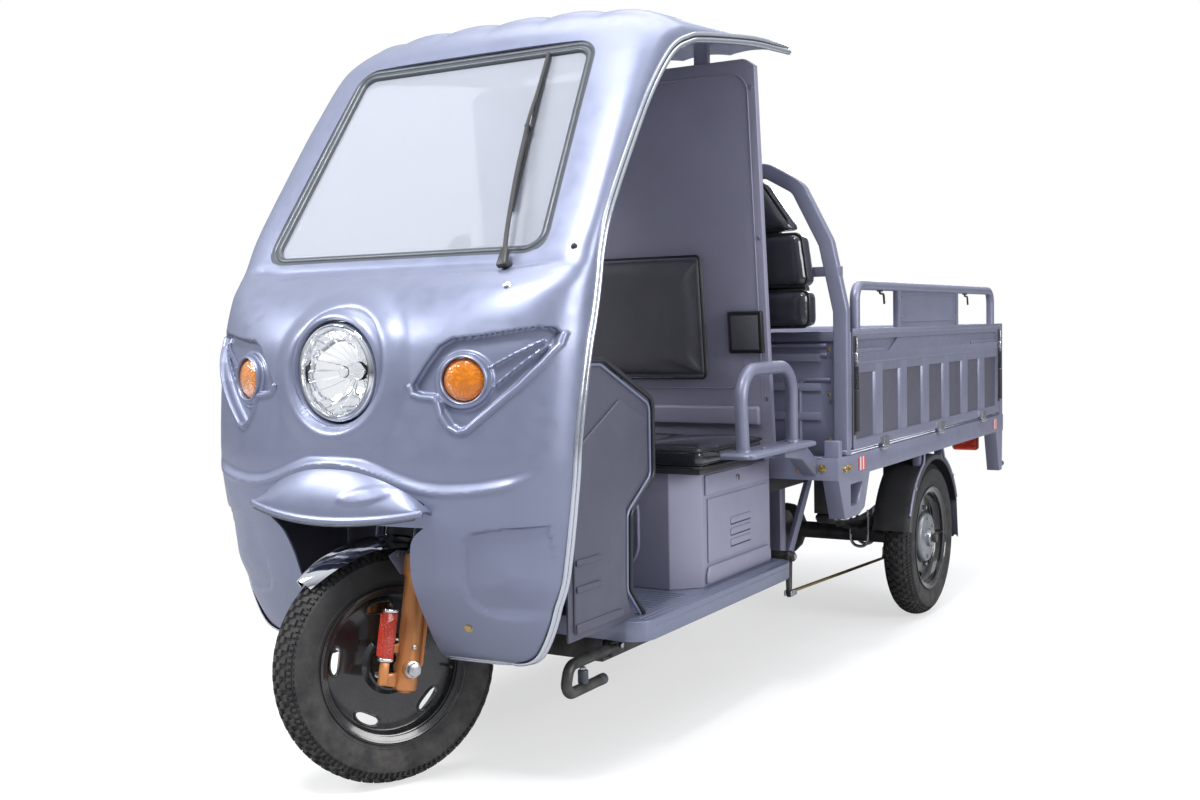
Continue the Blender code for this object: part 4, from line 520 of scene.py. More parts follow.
def lathe(profile, axis="x", steps=64, smooth=35, closed=False):
    """Points of (radius, place along the axis) spun about an axis through the origin."""
    bm = bmesh.new()
    rings = []
    for radius, along in profile:
        ring = []
        for u, v in circle(radius, steps):
            ring.append(bm.verts.new({"x": (along, u, v), "y": (u, along, v), "z": (u, v, along)}[axis]))
        rings.append(ring)
    pairs = list(zip(rings, rings[1:])) + ([(rings[-1], rings[0])] if closed else [])
    for first, second in pairs:
        for k in range(steps):
            bm.faces.new((first[k], first[(k + 1) % steps], second[(k + 1) % steps], second[k]))
    bmesh.ops.remove_doubles(bm, verts=bm.verts, dist=1e-6)
    return mesh_object("lathe", bm, smooth)


def stud(start, end, radius, sides=24, bevel=0.0):
    """A round bar from one point to another with eased ends; six sides make a bolt's head."""
    start, end = Vector(start), Vector(end)
    along = end - start
    bm = bmesh.new()
    bmesh.ops.create_cone(bm, cap_ends=True, segments=sides, radius1=radius, radius2=radius, depth=along.length)
    turn = along.to_track_quat("Z", "Y").to_matrix().to_4x4()
    bmesh.ops.transform(bm, matrix=Matrix.Translation((start + end) / 2) @ turn, verts=bm.verts)
    obj = mesh_object("stud", bm, 35)
    return soften(obj, bevel, 2, 60, 35) if bevel else obj


def bolt(start, end, radius, bevel=0.001, material=None):
    """A hexagonal head or nut between two points."""
    return coat(stud(start, end, radius, 6, bevel), material or BRIGHT_STEEL)


def bolt_on_washer(start, bolt_end, washer_end, bolt_radius, washer_radius):
    return [stud(start, bolt_end, bolt_radius, 6, 0.001), stud(start, washer_end, washer_radius, 28, 0.0005)]


def grid(points, close_u=False, close_v=False, smooth=0):
    """A sheet over a numpy array of points, rows by columns."""
    rows, columns = points.shape[:2]
    u = np.arange(rows if close_u else rows - 1)
    v = np.arange(columns if close_v else columns - 1)
    a, b = np.meshgrid(u, v, indexing="ij")
    a2, b2 = (a + 1) % rows, (b + 1) % columns
    quads = np.stack([a * columns + b, a * columns + b2, a2 * columns + b2, a2 * columns + b], -1).reshape(-1, 4)
    mesh = bpy.data.meshes.new("grid")
    mesh.from_pydata(points.reshape(-1, 3).tolist(), [], quads.tolist())
    mesh.update()
    mesh.shade_smooth()
    if smooth:
        mesh.set_sharp_from_angle(angle=math.radians(smooth))
    return link(bpy.data.objects.new("grid", mesh))


def front_normals(points, row):
    """Unit normals of a grid of points, facing forwards at the middle of a sample row."""
    normals = np.cross(np.gradient(points, axis=1), np.gradient(points, axis=0))
    normals /= np.linalg.norm(normals, axis=2, keepdims=True)
    return normals * -np.sign(normals[row, points.shape[1] // 2, 1])


def closed_up(obj, triangles=False):
    """Open ends filled and every face turned outwards."""
    bm = bmesh.new()
    bm.from_mesh(obj.data)
    bmesh.ops.holes_fill(bm, edges=[edge for edge in bm.edges if edge.is_boundary])
    if triangles:
        bmesh.ops.triangulate(bm, faces=[face for face in bm.faces if len(face.verts) > 4])
    bmesh.ops.recalc_face_normals(bm, faces=bm.faces)
    bm.to_mesh(obj.data)
    bm.free()
    return obj


def sheet_of(obj, thickness):
    """A surface given its thickness, half to each side."""
    sheet = obj.modifiers.new("sheet", "SOLIDIFY")
    sheet.thickness = thickness
    sheet.offset = 0.0
    return applied(obj, 40)


def boolean(base, others, operation="DIFFERENCE", solver="EXACT", smooth=40):
    """A form cut by others, or shared with them, which are used up."""
    for other in others:
        step = base.modifiers.new("step", "BOOLEAN")
        step.operation = operation
        step.solver = solver
        step.object = other
    base = applied(base, smooth)
    for other in others:
        bpy.data.objects.remove(other, do_unlink=True)
    return base


def dress(node, material=None, bevel=0.0025, segments=2, smooth=50):
    """A CAD node's own form with eased edges and even shading, in its finish."""
    source = NODES[node]
    bm = bmesh.new()
    bm.from_mesh(source.data)
    bmesh.ops.remove_doubles(bm, verts=bm.verts, dist=2e-5)
    bmesh.ops.dissolve_limit(bm, angle_limit=math.radians(1.0), verts=bm.verts, edges=bm.edges)
    obj = mesh_object(node + "_finish", bm, smooth)
    if bevel:
        obj = soften(obj, bevel, segments, 30, smooth)
    return show(coat(obj, material or OF_SLOT[SLOT_OF[node]]), BODY_OF[node], SLOT_OF[node], node)


# Cab shell: rows of (centre y, centre z, half width, edge y, edge z, squareness), as in the frame

SHELL_ROWS = (
    (0.02, 0.276, 0.3, 0.05, 0.276, 2.2),
    (-0.015, 0.3, 0.372, 0.04, 0.3, 2.2),
    (-0.085, 0.42, 0.425, 0.036, 0.42, 2.2),
    (-0.112, 0.5, 0.441, 0.04, 0.5, 2.2),
    (-0.14, 0.66, 0.462, 0.04, 0.66, 2.2),
    (-0.141, 0.74, 0.467, 0.043, 0.74, 2.2),
    (-0.124, 0.9, 0.474, 0.072, 0.9, 2.3),
    (-0.098, 0.97, 0.474, 0.096, 0.97, 2.5),
    (-0.05, 1.03, 0.474, 0.113, 1.03, 2.9),
    (0.01, 1.07, 0.473, 0.124, 1.07, 3.6),
    (0.052, 1.098, 0.472, 0.132, 1.1, 4.4),
    (0.11, 1.19, 0.47, 0.176, 1.195, 4.8),
    (0.245, 1.4, 0.462, 0.328, 1.4, 4.8),
    (0.305, 1.493, 0.46, 0.405, 1.49, 4.4),
    (0.358, 1.575, 0.46, 0.462, 1.545, 4.0),
    (0.395, 1.625, 0.46, 0.503, 1.572, 3.6),
    (0.45, 1.662, 0.46, 0.55, 1.59, 3.2),
    (0.53, 1.68, 0.46, 0.62, 1.608, 3.0),
    (0.88, 1.69, 0.46, 0.9, 1.648, 3.0),
    (1.06, 1.688, 0.46, 1.06, 1.661, 3.0),
    (1.15, 1.686, 0.458, 1.15, 1.668, 3.0),
)
SHELL_COLUMNS = 176
RIBS_FROM = 15
HEADLIGHT = Vector((0, -0.127, 0.875))
SIGNAL = Vector((0.288, -0.083, 0.859))
SIGNAL_PROUD = 0.01
SIGNAL_HOLE = 0.047       # radius
RECESS_PASSES = 2         # times the nose's relief is laid on in the signals' recesses, which are the deeper for it
HALF_SHEET = 0.0025       # half the shell's thickness
HOOD_SPACING = 0.0034     # between the shell's lines behind the hood, where its creases are tightest
SIGNAL_TURN = math.radians(17.3)

# Outline of the signal's leaf-shaped recess and its ribs, (x, z) on the left half of the nose
LEAF_TOP = ((0.18, 0.846), (0.208, 0.889), (0.236, 0.927), (0.262, 0.942), (0.318, 0.947), (0.372, 0.955),
            (0.418, 0.962), (0.442, 0.96), (0.455, 0.945))
LEAF_LOW = ((0.455, 0.945), (0.452, 0.925), (0.43, 0.89), (0.396, 0.848), (0.345, 0.8), (0.302, 0.762),
            (0.284, 0.757), (0.264, 0.768), (0.247, 0.792), (0.24, 0.815), (0.232, 0.824), (0.205, 0.826),
            (0.185, 0.832), (0.18, 0.846))
LEAF_RIBS = (((0.335, 0.88), (0.43, 0.934)), ((0.345, 0.842), (0.436, 0.922)))
CREASE = ((0.0, 0.701), (0.06, 0.697), (0.113, 0.684), (0.16, 0.668), (0.205, 0.656), (0.25, 0.651),
          (0.3, 0.653), (0.345, 0.659), (0.385, 0.668), (0.415, 0.68), (0.44, 0.695))
SHIELD = ((0.352, 0.574), (0.323, 0.571), (0.297, 0.565), (0.276, 0.544), (0.264, 0.505), (0.259, 0.453),
          (0.262, 0.418), (0.285, 0.395), (0.325, 0.38))


def smoothstep(low, high, value):
    t = np.clip((value - low) / (high - low), 0, 1)
    return t * t * (3 - 2 * t)


def to_line(points, x, z):
    """Distance in the front view from every grid point to a line of points."""
    best = np.full(x.shape, 9.0)
    for (ax, az), (bx, bz) in zip(points, points[1:]):
        dx, dz = bx - ax, bz - az
        t = np.clip(((x - ax) * dx + (z - az) * dz) / (dx * dx + dz * dz), 0, 1)
        best = np.minimum(best, np.hypot(x - ax - t * dx, z - az - t * dz))
    return best


def inside(points, x, z):
    found = np.zeros(x.shape, bool)
    for (ax, az), (bx, bz) in zip(points, points[1:] + points[:1]):
        if az != bz:
            found ^= ((az > z) != (bz > z)) & (x < (bx - ax) * (z - az) / (bz - az) + ax)
    return found


def nose_relief(x, z):
    """How far the nose stands out from its loft, for its lamp mounds, recesses and creases."""
    x = np.abs(x)
    relief = np.zeros(x.shape)
    r = np.hypot(x, z - HEADLIGHT.z)
    relief += 0.013 * smoothstep(0.185, 0.128, r) * (1 - smoothstep(0.0, 0.02, 0.128 - r))
    leaf = inside(LEAF, x, z)
    low_edge = to_line(LEAF_LOW, x, z)
    depth = np.minimum(smoothstep(0.0, 0.004, to_line(LEAF_TOP, x, z)), smoothstep(0.0015, 0.012, low_edge))
    relief -= np.where(leaf, 0.0085 * depth, 0)
    relief += 0.003 * np.exp(-(low_edge / 0.0034) ** 2)
    for start, end in LEAF_RIBS:
        along = np.clip((x - start[0]) / (end[0] - start[0]), 0, 1)
        relief += 0.005 * np.exp(-(to_line((start, end), x, z) / 0.0026) ** 2) * smoothstep(0, 0.1, along)
    ring = np.hypot((x - SIGNAL.x) * math.cos(SIGNAL_TURN), z - SIGNAL.z)
    relief += 0.004 * smoothstep(0.062, 0.054, ring)
    line = smooth_path([(-CREASE[1][0], CREASE[1][1], 0), *[(*p, 0) for p in CREASE]], 8)
    crease = np.interp(x, [p.x for p in line], [p.y for p in line])
    fade = smoothstep(0.445, 0.36, x)
    relief += 0.0095 * fade * smoothstep(0.01, -0.012, z - crease) * smoothstep(0.46, 0.6, z)
    relief += 0.0034 * fade * np.exp(-((z - crease + 0.01) / 0.0062) ** 2)
    distance = to_line(SHIELD, x, z)
    within = inside(SHIELD + ((0.43, 0.38), (0.43, 0.574)), x, z)
    relief -= np.where(within, 0.009 * smoothstep(0, 0.009, distance) * smoothstep(0.13, 0.02, distance)
                       * smoothstep(0.378, 0.402, z), 0)
    sill = 1.082 + 0.012 * smoothstep(0.3, 0.4, x)
    relief -= 0.004 * smoothstep(0.006, -0.006, np.abs(z - sill) - 0.01) * smoothstep(0.44, 0.38, x)
    return relief


def evenly(line, count, *followers):
    """Rows of numbers that go with a line's points, taken at evenly spaced places along it."""
    run = np.concatenate([[0], np.cumsum(np.linalg.norm(np.diff(line, axis=0), axis=1))])
    even = np.linspace(0, run[-1], count)
    return [np.stack([np.interp(even, run, follower[:, k]) for k in range(3)], -1) for follower in followers]


def shell_lines(fine, coarse):
    """The rows with smooth ones between them, and the row each comes from."""
    rows = np.array(SHELL_ROWS)
    lines, place = [], []
    for i, (row, after) in enumerate(zip(rows, rows[1:])):
        step = after - row
        length = max(np.hypot(*step[:2]), np.hypot(*step[3:5]), abs(step[2]))
        spacing = HOOD_SPACING if 0.49 < row[1] < 0.73 else fine if row[1] < 1.08 else coarse
        count = max(2, math.ceil(length / spacing))
        for k in range(count):
            lines.append(between_rows(rows, i, k / count))
            place.append(i + k / count)
    return lines + [rows[-1]], place + [len(rows) - 1]


def shell_surface(columns=SHELL_COLUMNS, fine=0.0062, coarse=0.0145):
    """The shell's middle surface as a grid, with its outward normals."""
    lines, place = shell_lines(fine, coarse)
    angles = np.linspace(-math.pi / 2, math.pi / 2, 961)
    points = []
    for cy, cz, half, ey, ez, square in lines:
        power = 2 / square
        side = np.sign(angles) * np.abs(np.sin(angles)) ** power
        lean = 1 - np.abs(np.cos(angles)) ** power
        line = np.stack([half * side, cy + (ey - cy) * lean, cz + (ez - cz) * lean], -1)
        points += evenly(line, columns, line)
    points = np.array(points)
    ribs = smoothstep(RIBS_FROM, RIBS_FROM + 2, np.array(place))[:, None]
    across = points[:, :, 0] / 0.43
    scallop = np.abs(np.sin(math.pi * 3 * across)) ** 0.75 * (np.abs(across) < 1)
    points[:, :, 2] += 0.0085 * ribs * scallop
    return points, front_normals(points, len(points) // 4)


def grown(outline, by):
    """An outline moved outwards all round."""
    points = [Vector(point) for point in outline]
    turning = sum(a.x * b.y - b.x * a.y for a, b in zip(points, points[1:] + points[:1]))
    by = by if turning < 0 else -by
    out = []
    for before, corner, after in zip([points[-1], *points[:-1]], points, [*points[1:], points[0]]):
        first, second = (corner - before).normalized(), (after - corner).normalized()
        first, second = Vector((-first.y, first.x)), Vector((-second.y, second.x))
        out.append(tuple(corner + (first + second) * (by / (1 + first.dot(second)))))
    return out


LEAF = LEAF_TOP[:-1] + LEAF_LOW[:-1]
LEAF_EDGE = grown(LEAF, 0.009)
NOSE_DEPTH = (-0.3, 0.2)         # limits in y that clear the nose


def leaf_panel(side, name, step=0.0015):
    """The signal's recess in a finer mesh, trimmed to fit the hole left for it in the shell."""
    lines = np.array([line for line in shell_lines(0.0047, 0.012)[0] if line[1] < 1.05])
    xs = np.arange(0.165, 0.4672, step)
    zs = np.arange(0.742, 0.978, step)
    x, z = np.meshgrid(xs, zs)
    cy, half, ey, square = (np.interp(z, lines[:, 1], lines[:, k]) for k in (0, 2, 3, 5))
    y = cy + (ey - cy) * (1 - np.maximum(0, 1 - (x / half) ** square) ** (1 / square))
    points = np.stack([x, y, z], -1)
    for _ in range(RECESS_PASSES):
        normals = front_normals(points, len(zs) // 2)
        points = points + normals * nose_relief(x, z)[:, :, None]
    outer, inner = points + normals * HALF_SHEET, points - normals * HALF_SHEET
    solid = closed_up(grid(np.concatenate([outer, inner[::-1]]), close_u=True), triangles=True)
    solid = boolean(solid, [slab(LEAF_EDGE, *NOSE_DEPTH, "y")], "INTERSECT", "MANIFOLD", 60)
    panel = boolean(solid, [signal_hole(1)], "DIFFERENCE", "MANIFOLD", 60)
    assemble("signal_recess_" + name, coated(PAINT, panel), SHIFT @ mirror(side), "chassis", "body_paint")


GLASS_FOOT = Vector((0, 0.07, 1.1))
GLASS_UP = Vector((0, 0.543, 0.84)).normalized()
GLASS_OUT = Vector((0, -GLASS_UP.z, GLASS_UP.y))
GLASS_HEIGHT = 0.572
GLASS_LOW_HALF = 0.384
GLASS_HIGH_HALF = 0.335
GLASS_CORNER = 0.055
WIPER_FOOT = (0.305, -0.03)       # across and up on the glass
GLASS_FRAME = Matrix((
    (1, 0, 0, 0),
    (0, GLASS_UP.y, GLASS_OUT.y, GLASS_FOOT.y),
    (0, GLASS_UP.z, GLASS_OUT.z, GLASS_FOOT.z),
    (0, 0, 0, 1)))


def screen_outline(inset, steps=10):
    low, high = GLASS_LOW_HALF - inset, GLASS_HIGH_HALF - inset
    corners = [(-low, inset, 0), (low, inset, 0), (high, GLASS_HEIGHT - inset, 0), (-high, GLASS_HEIGHT - inset, 0)]
    return [(point.x, point.y) for point in bent_loop(corners, GLASS_CORNER - inset, steps)]


def screen_place(across, up, out):
    return GLASS_FRAME @ Vector((across, up, out))


def signal_place(side):
    turn = Matrix.Rotation(side * SIGNAL_TURN, 4, "Z")
    return Matrix.Translation((side * SIGNAL.x, SIGNAL.y - SIGNAL_PROUD, SIGNAL.z)) @ turn


def signal_hole(side):
    return placed(stud((0, -0.08, 0), (0, 0.08, 0), SIGNAL_HOLE, 48), signal_place(side))


def spun_forward(profile, steps, smooth=35, closed=False):
    """Points of (radius, depth behind the front) spun about an axis along y."""
    return lathe(profile, "y", steps, smooth, closed)


def make_cab_shell():
    points, normals = shell_surface()
    points = points + normals * nose_relief(points[:, :, 0], points[:, :, 2])[:, :, None]
    normals = front_normals(points, len(points) // 4)
    outer, inner = points + normals * HALF_SHEET, points - normals * HALF_SHEET
    rows, columns = points.shape[:2]
    mesh = bpy.data.meshes.new("cab_shell")
    a, b = np.meshgrid(np.arange(rows - 1), np.arange(columns - 1), indexing="ij")
    quads = np.stack([a * columns + b, a * columns + b + 1, (a + 1) * columns + b + 1, (a + 1) * columns + b],
                     -1).reshape(-1, 4)
    shift = rows * columns
    rim = [r * columns for r in range(rows)] + [(rows - 1) * columns + c for c in range(1, columns)]
    rim += [r * columns + columns - 1 for r in range(rows - 2, -1, -1)] + list(range(columns - 2, 0, -1))
    rim = np.array(rim)
    after = np.roll(rim, -1)
    walls = np.stack([rim, after, after + shift, rim + shift], -1)
    faces = np.concatenate([quads, quads[:, ::-1] + shift, walls])
    mesh.from_pydata(np.concatenate([outer.reshape(-1, 3), inner.reshape(-1, 3)]).tolist(), [], faces.tolist())
    shell = closed_up(link(bpy.data.objects.new("cab_shell_moulding", mesh)))

    arch = [(0.15, 0.2), (0.15, 0.42), (0.153, 0.47), (0.16, 0.51), (0.175, 0.545), (0.205, 0.569)]
    arch = smooth_path([(x, z, 0) for x, z in arch], 6)
    arch = [(p.x, p.y) for p in arch] + [(-p.x, p.y) for p in reversed(arch)]
    cutters = [slab(arch, *NOSE_DEPTH, "y"), placed(slab(screen_outline(0.0), -0.06, 0.06, "z"), GLASS_FRAME),
               stud((0, -0.3, HEADLIGHT.z), (0, 0, HEADLIGHT.z), 0.11, 72)]
    for side in (1, -1):
        cutters += [signal_hole(side), placed(slab(LEAF_EDGE, *NOSE_DEPTH, "y"), mirror(side))]
    cutters.append(stud(screen_place(*WIPER_FOOT, -0.05), screen_place(*WIPER_FOOT, 0.08), 0.0115, 20))
    shell = boolean(shell, cutters, "DIFFERENCE", "MANIFOLD", 32)
    assemble("cab_shell_moulding", coated(PAINT, shell), SHIFT, "chassis", "body_paint", "cab_shell")
    return points, normals


def sweep(path, normals, profile, cyclic=False):
    """A profile of (across, up) carried along a path; up is the given normal, across lies square to both."""
    path, normals = np.array(path, float), np.array(normals, float)
    if cyclic:
        tangents = np.roll(path, -1, 0) - np.roll(path, 1, 0)
    else:
        tangents = np.gradient(path, axis=0)
    tangents /= np.linalg.norm(tangents, axis=1, keepdims=True)
    across = np.cross(tangents, normals)
    across /= np.linalg.norm(across, axis=1, keepdims=True)
    up = np.cross(across, tangents)
    shape = np.array(profile)
    points = path[:, None] + across[:, None] * shape[None, :, :1] + up[:, None] * shape[None, :, 1:]
    return grid(points, close_u=cyclic, close_v=True, smooth=40)


SILVER = surface("silver_trim", (0.62, 0.65, 0.72), 0.2, metal=0.85, coat=0.3, grain=500, grain_bump=0.02, tone=0.04)
TRIM_BLACK = surface("black_trim", (0.018, 0.02, 0.026), 0.35, grain=500, grain_bump=0.05, tone=0.1)

EDGE_TRIM = ((-0.021, 0.0015), (-0.0205, 0.005), (-0.018, 0.0072), (-0.015, 0.0074), (-0.0125, 0.0055),
             (-0.0118, 0.0042), (-0.0085, 0.0042), (-0.0078, 0.0058), (-0.005, 0.0078), (-0.001, 0.0078),
             (0.0025, 0.0055), (0.004, 0.0015), (0.004, -0.002), (0.001, -0.004), (-0.003, -0.004))
DARK_COLUMNS = (5, 11, 12, 13, 14)


def make_edge_trim(points, normals):
    """The double silver bead with a black groove round each side edge of the shell."""
    rows, columns = points.shape[:2]
    for side, name in SIDES:
        edge = columns - 1 if side > 0 else 0
        bottom = [c for c in range(columns) if side * points[0, c, 0] > 0.152]
        bottom = sorted(bottom, key=lambda c: side * points[0, c, 0])
        path = [points[0, c] for c in bottom] + [points[r, edge] for r in range(1, rows)]
        facing = [normals[0, c] for c in bottom] + [normals[r, edge] for r in range(1, rows)]
        path, facing = evenly(np.array(path), 300, np.array(path), np.array(facing))
        for _ in range(3):
            path[1:-1] = (path[:-2] + 2 * path[1:-1] + path[2:]) / 4
            facing[1:-1] = (facing[:-2] + 2 * facing[1:-1] + facing[2:]) / 4
        profile = EDGE_TRIM if side > 0 else tuple((-a, b) for a, b in EDGE_TRIM)
        trim = sweep(path, facing, profile)
        trim.data.materials.append(SILVER)
        trim.data.materials.append(TRIM_BLACK)
        count = len(EDGE_TRIM)
        for face in trim.data.polygons:
            if face.index % count in DARK_COLUMNS:
                face.material_index = 1
        assemble("edge_trim_" + name, [trim], SHIFT, "chassis", "body_paint")


def make_windscreen():
    outline = screen_outline(0.0, 12)
    path = [screen_place(u, v, 0) for u, v in outline]
    profile = ((-0.007, 0.0035), (-0.0062, 0.008), (-0.0025, 0.0108), (0.003, 0.0118), (0.008, 0.0108),
               (0.0098, 0.0086), (0.0112, 0.0086), (0.013, 0.0102), (0.018, 0.0112), (0.0225, 0.0095),
               (0.0255, 0.005), (0.0262, 0.002), (0.0262, -0.004), (0.022, -0.008), (-0.004, -0.008),
               (-0.0068, -0.004))
    profile = tuple((-a, b) for a, b in profile)
    gasket = sweep(path, [GLASS_OUT] * len(path), profile, cyclic=True)
    assemble("windscreen_gasket_rubber", coated(RUBBER, gasket), SHIFT, "chassis", "rubber", "windscreen_gasket")
    pane = placed(slab(screen_outline(0.0243, 12), -0.0025, 0.0025, "z"), GLASS_FRAME)
    assemble("windscreen_pane", coated(GLASS, pane), SHIFT, "chassis", "glass", "windscreen")


def make_wiper():
    foot = screen_place(*WIPER_FOOT, 0.0)
    knuckle = stud(foot - GLASS_OUT * 0.004, foot + GLASS_OUT * 0.036, 0.0105, 28, 0.002)
    head = slab([(-0.012, -0.014), (0.012, -0.014), (0.009, 0.03), (-0.007, 0.03)], 0.0, 0.013, "z", 0.003)
    lean = Matrix.Rotation(math.radians(10), 4, "Z")
    placed(head, Matrix.Translation(screen_place(*WIPER_FOOT, 0.026) - GLASS_FRAME.translation) @ GLASS_FRAME @ lean)
    arm_path = [screen_place(0.303, -0.01, 0.034), screen_place(0.29, 0.05, 0.036), screen_place(0.262, 0.19, 0.033),
                screen_place(0.2365, 0.33, 0.024)]
    arm = sweep(smooth_path(arm_path, 8), [GLASS_OUT] * 25, ((-0.0045, -0.002), (-0.0045, 0.002), (0.0045, 0.002),
                                                             (0.0045, -0.002)))

    def on_blade(t, lift):
        return screen_place(0.262 + (0.215 - 0.262) * t, 0.115 + (0.545 - 0.115) * t, lift)

    line = [on_blade(t, 0) for t in (0, 0.25, 0.5, 0.75, 1)]
    rubber = sweep([p + GLASS_OUT * 0.01 for p in line], [GLASS_OUT] * 5,
                   ((-0.0012, -0.006), (-0.003, 0.0), (-0.003, 0.005), (0.003, 0.005), (0.003, 0.0),
                    (0.0012, -0.006)))
    lifts = (0.016, 0.02, 0.028, 0.02, 0.016)
    bow = sweep(smooth_path([p + GLASS_OUT * h for p, h in zip(line, lifts)], 6), [GLASS_OUT] * 25,
                ((-0.0045, 0.0), (-0.003, 0.0028), (0.003, 0.0028), (0.0045, 0.0)))
    yokes = []
    for low, high in ((0.1, 0.42), (0.58, 0.9)):
        spots = [on_blade(low, 0.015), on_blade((low + high) / 2, 0.021), on_blade(high, 0.015)]
        yokes.append(sweep(smooth_path(spots, 6), [GLASS_OUT] * 13, ((-0.0038, 0.0), (-0.003, 0.002), (0.003, 0.002),
                                                                   (0.0038, 0.0))))
    pivot = stud(screen_place(0.2465, 0.326, 0.02), screen_place(0.2285, 0.334, 0.02), 0.005, 16, 0.001)
    assemble("wiper_arm_and_blade", coated(PLASTIC, knuckle, head, arm, rubber, bow, *yokes, pivot), SHIFT, "chassis",
             "black_plastic", "wiper")


REFLECTOR = surface("lamp_reflector", (0.88, 0.89, 0.91), 0.05, metal=1.0, grain=300, grain_bump=0.0, tone=0.02,
                    rough_by=0.02)


def make_headlight():
    place = SHIFT @ Matrix.Translation(HEADLIGHT)
    bezel = spun_forward([(0.1045, 0.03), (0.1045, 0.002), (0.106, -0.006), (0.1095, -0.0105), (0.114, -0.01),
                          (0.1205, -0.005), (0.1265, 0.003), (0.13, 0.014), (0.131, 0.03), (0.125, 0.045),
                          (0.11, 0.045)], 96, 50, True)
    assemble("headlight_bezel", coated(PAINT, bezel), place, "chassis", "body_paint")
    ring = spun_forward([(0.0865, 0.0), (0.087, -0.008), (0.0895, -0.0125), (0.0925, -0.013), (0.0945, -0.01),
                         (0.0958, -0.008), (0.0975, -0.0085), (0.0995, -0.007), (0.1018, 0.0), (0.1022, 0.03),
                         (0.0865, 0.03)], 96, 40, True)
    bowl_points = []
    for depth, radius in ((0.004, 0.0885), (0.018, 0.083), (0.032, 0.074), (0.046, 0.06), (0.056, 0.043),
                          (0.061, 0.026), (0.063, 0.012)):
        line = []
        for k, a in enumerate(turns(120)):
            flute = 0.0016 * (1 if (k // 5) % 2 else -1)
            panel = 0.0025 * math.sin(5 * a) * (radius / 0.088)
            line.append((radius * math.cos(a), depth + flute * radius / 0.088 + panel, radius * math.sin(a)))
        bowl_points.append(line)
    bowl = grid(np.array(bowl_points), close_v=True, smooth=15)
    cap = stud((0, 0.06, 0), (0, 0.012, 0), 0.0105, 32, 0.003)
    skirt = spun_forward([(0.018, 0.058), (0.019, 0.046), (0.013, 0.03), (0.012, 0.02)], 48, 40)
    parts = [coat(ring, CHROME), coat(bowl, REFLECTOR), coat(cap, CHROME), coat(skirt, REFLECTOR)]
    assemble("headlight_reflector_and_rim", parts, place, "chassis", "chrome", "headlight")
    dome = [(0.0, -0.0225), (0.02, -0.0218), (0.04, -0.0197), (0.06, -0.016), (0.075, -0.0115), (0.0865, -0.006),
            (0.0865, -0.004), (0.074, -0.0092), (0.06, -0.0137), (0.04, -0.0174), (0.02, -0.0195), (0.0, -0.0202)]
    cover = spun_forward(dome, 96, 60)
    assemble("headlight_glass", coated(LAMP_GLASS, cover), place, "chassis", "glass")


AMBER_DEEP = surface("amber_reflector", (0.85, 0.24, 0.01), 0.12, metal=0.4, coat=0.5, grain=200, grain_bump=0.3,
                     tone=0.25)


def make_signals():
    for side, name in SIDES:
        place = SHIFT @ signal_place(side)
        ring = spun_forward([(0.0435, 0.0), (0.044, -0.003), (0.0462, -0.0045), (0.049, -0.003), (0.0505, 0.002),
                             (0.051, 0.014), (0.0435, 0.014)], 64, 50, True)
        assemble("signal_rim_" + name, coated(PAINT, ring), place, "chassis", "body_paint")
        lens_profile = [(0.0, -0.0058), (0.012, -0.0054), (0.024, -0.004), (0.033, -0.0015), (0.0395, 0.0025),
                        (0.0428, 0.008), (0.0428, 0.016)]
        points = [[(x, depth, z) for x, z in circle(radius, 72)] for radius, depth in lens_profile]
        cover = grid(np.array(points), close_v=True)
        assemble("signal_lens_" + name, coated(AMBER, cover), place, "chassis", "amber_lens", "signal_lamp_" + name)
        inner = spun_forward([(0.0, 0.022), (0.012, 0.0215), (0.0125, 0.004), (0.0145, 0.0035), (0.015, 0.02),
                              (0.04, 0.012), (0.0425, 0.006)], 64, 30)
        assemble("signal_reflector_" + name, coated(AMBER_DEEP, inner), place, "chassis", "amber_lens")


def make_visor():
    """The hood over the front wheel: arched root, pressed facet, rolled front lip."""
    steps, falls = 72, 22
    rings, root_line, lip_line = [], [], []
    for k in range(steps + 1):
        across = 2 * k / steps - 1
        x = 0.2265 * across
        root = Vector((x, -0.1512 + 0.0262 * across ** 2, 0.604 + 0.08 * (1 - abs(across) ** 2.6)))
        lip = Vector((x, -0.19 + 0.035 * across ** 2, 0.579 + 0.0215 * across ** 2))
        section = [(root.y + 0.01, root.z - 0.004)]
        for i in range(falls + 1):
            t = i / falls
            y = root.y + (lip.y - root.y) * math.sin(t * math.pi / 2) ** 0.85
            z = root.z + (lip.z + 0.009 - root.z) * t
            u, v = (x - 0.098) / 0.066 + (z - 0.634) * 6, (z - 0.634 - (x - 0.098) * 0.2) / 0.0165
            y -= 0.0036 * float(smoothstep(1.05, 0.8, np.float64(math.hypot(u, v))))
            section.append((y, z))
        section += [(lip.y - 0.003, lip.z + 0.006), (lip.y - 0.0046, lip.z + 0.002), (lip.y - 0.004, lip.z - 0.003),
                    (lip.y - 0.001, lip.z - 0.0056), (lip.y + 0.004, lip.z - 0.0056), (lip.y + 0.006, lip.z - 0.002),
                    (lip.y + 0.008, lip.z + 0.005), ((lip.y + root.y) / 2 + 0.004, (lip.z + root.z) / 2 - 0.004),
                    (root.y + 0.01, root.z - 0.012)]
        rings.append([(x, y, z) for y, z in section])
        if abs(across) < 0.97:
            root_line.append((x, root.y - 0.001, root.z + 0.001))
            lip_line.append((x, lip.y - 0.0015, lip.z - 0.0062))
    visor = closed_up(grid(np.array(rings), close_v=True, smooth=45))
    # The black bar along the hood's root is painted shade in the groove where the hood meets the shell.
    seams = [coat(bar(root_line, 0.0024, 10), TRIM_BLACK), coat(bar(lip_line, 0.0026, 10), RUBBER)]
    assemble("wheel_visor", [coat(visor, PAINT), *seams], SHIFT, "chassis", "body_paint")


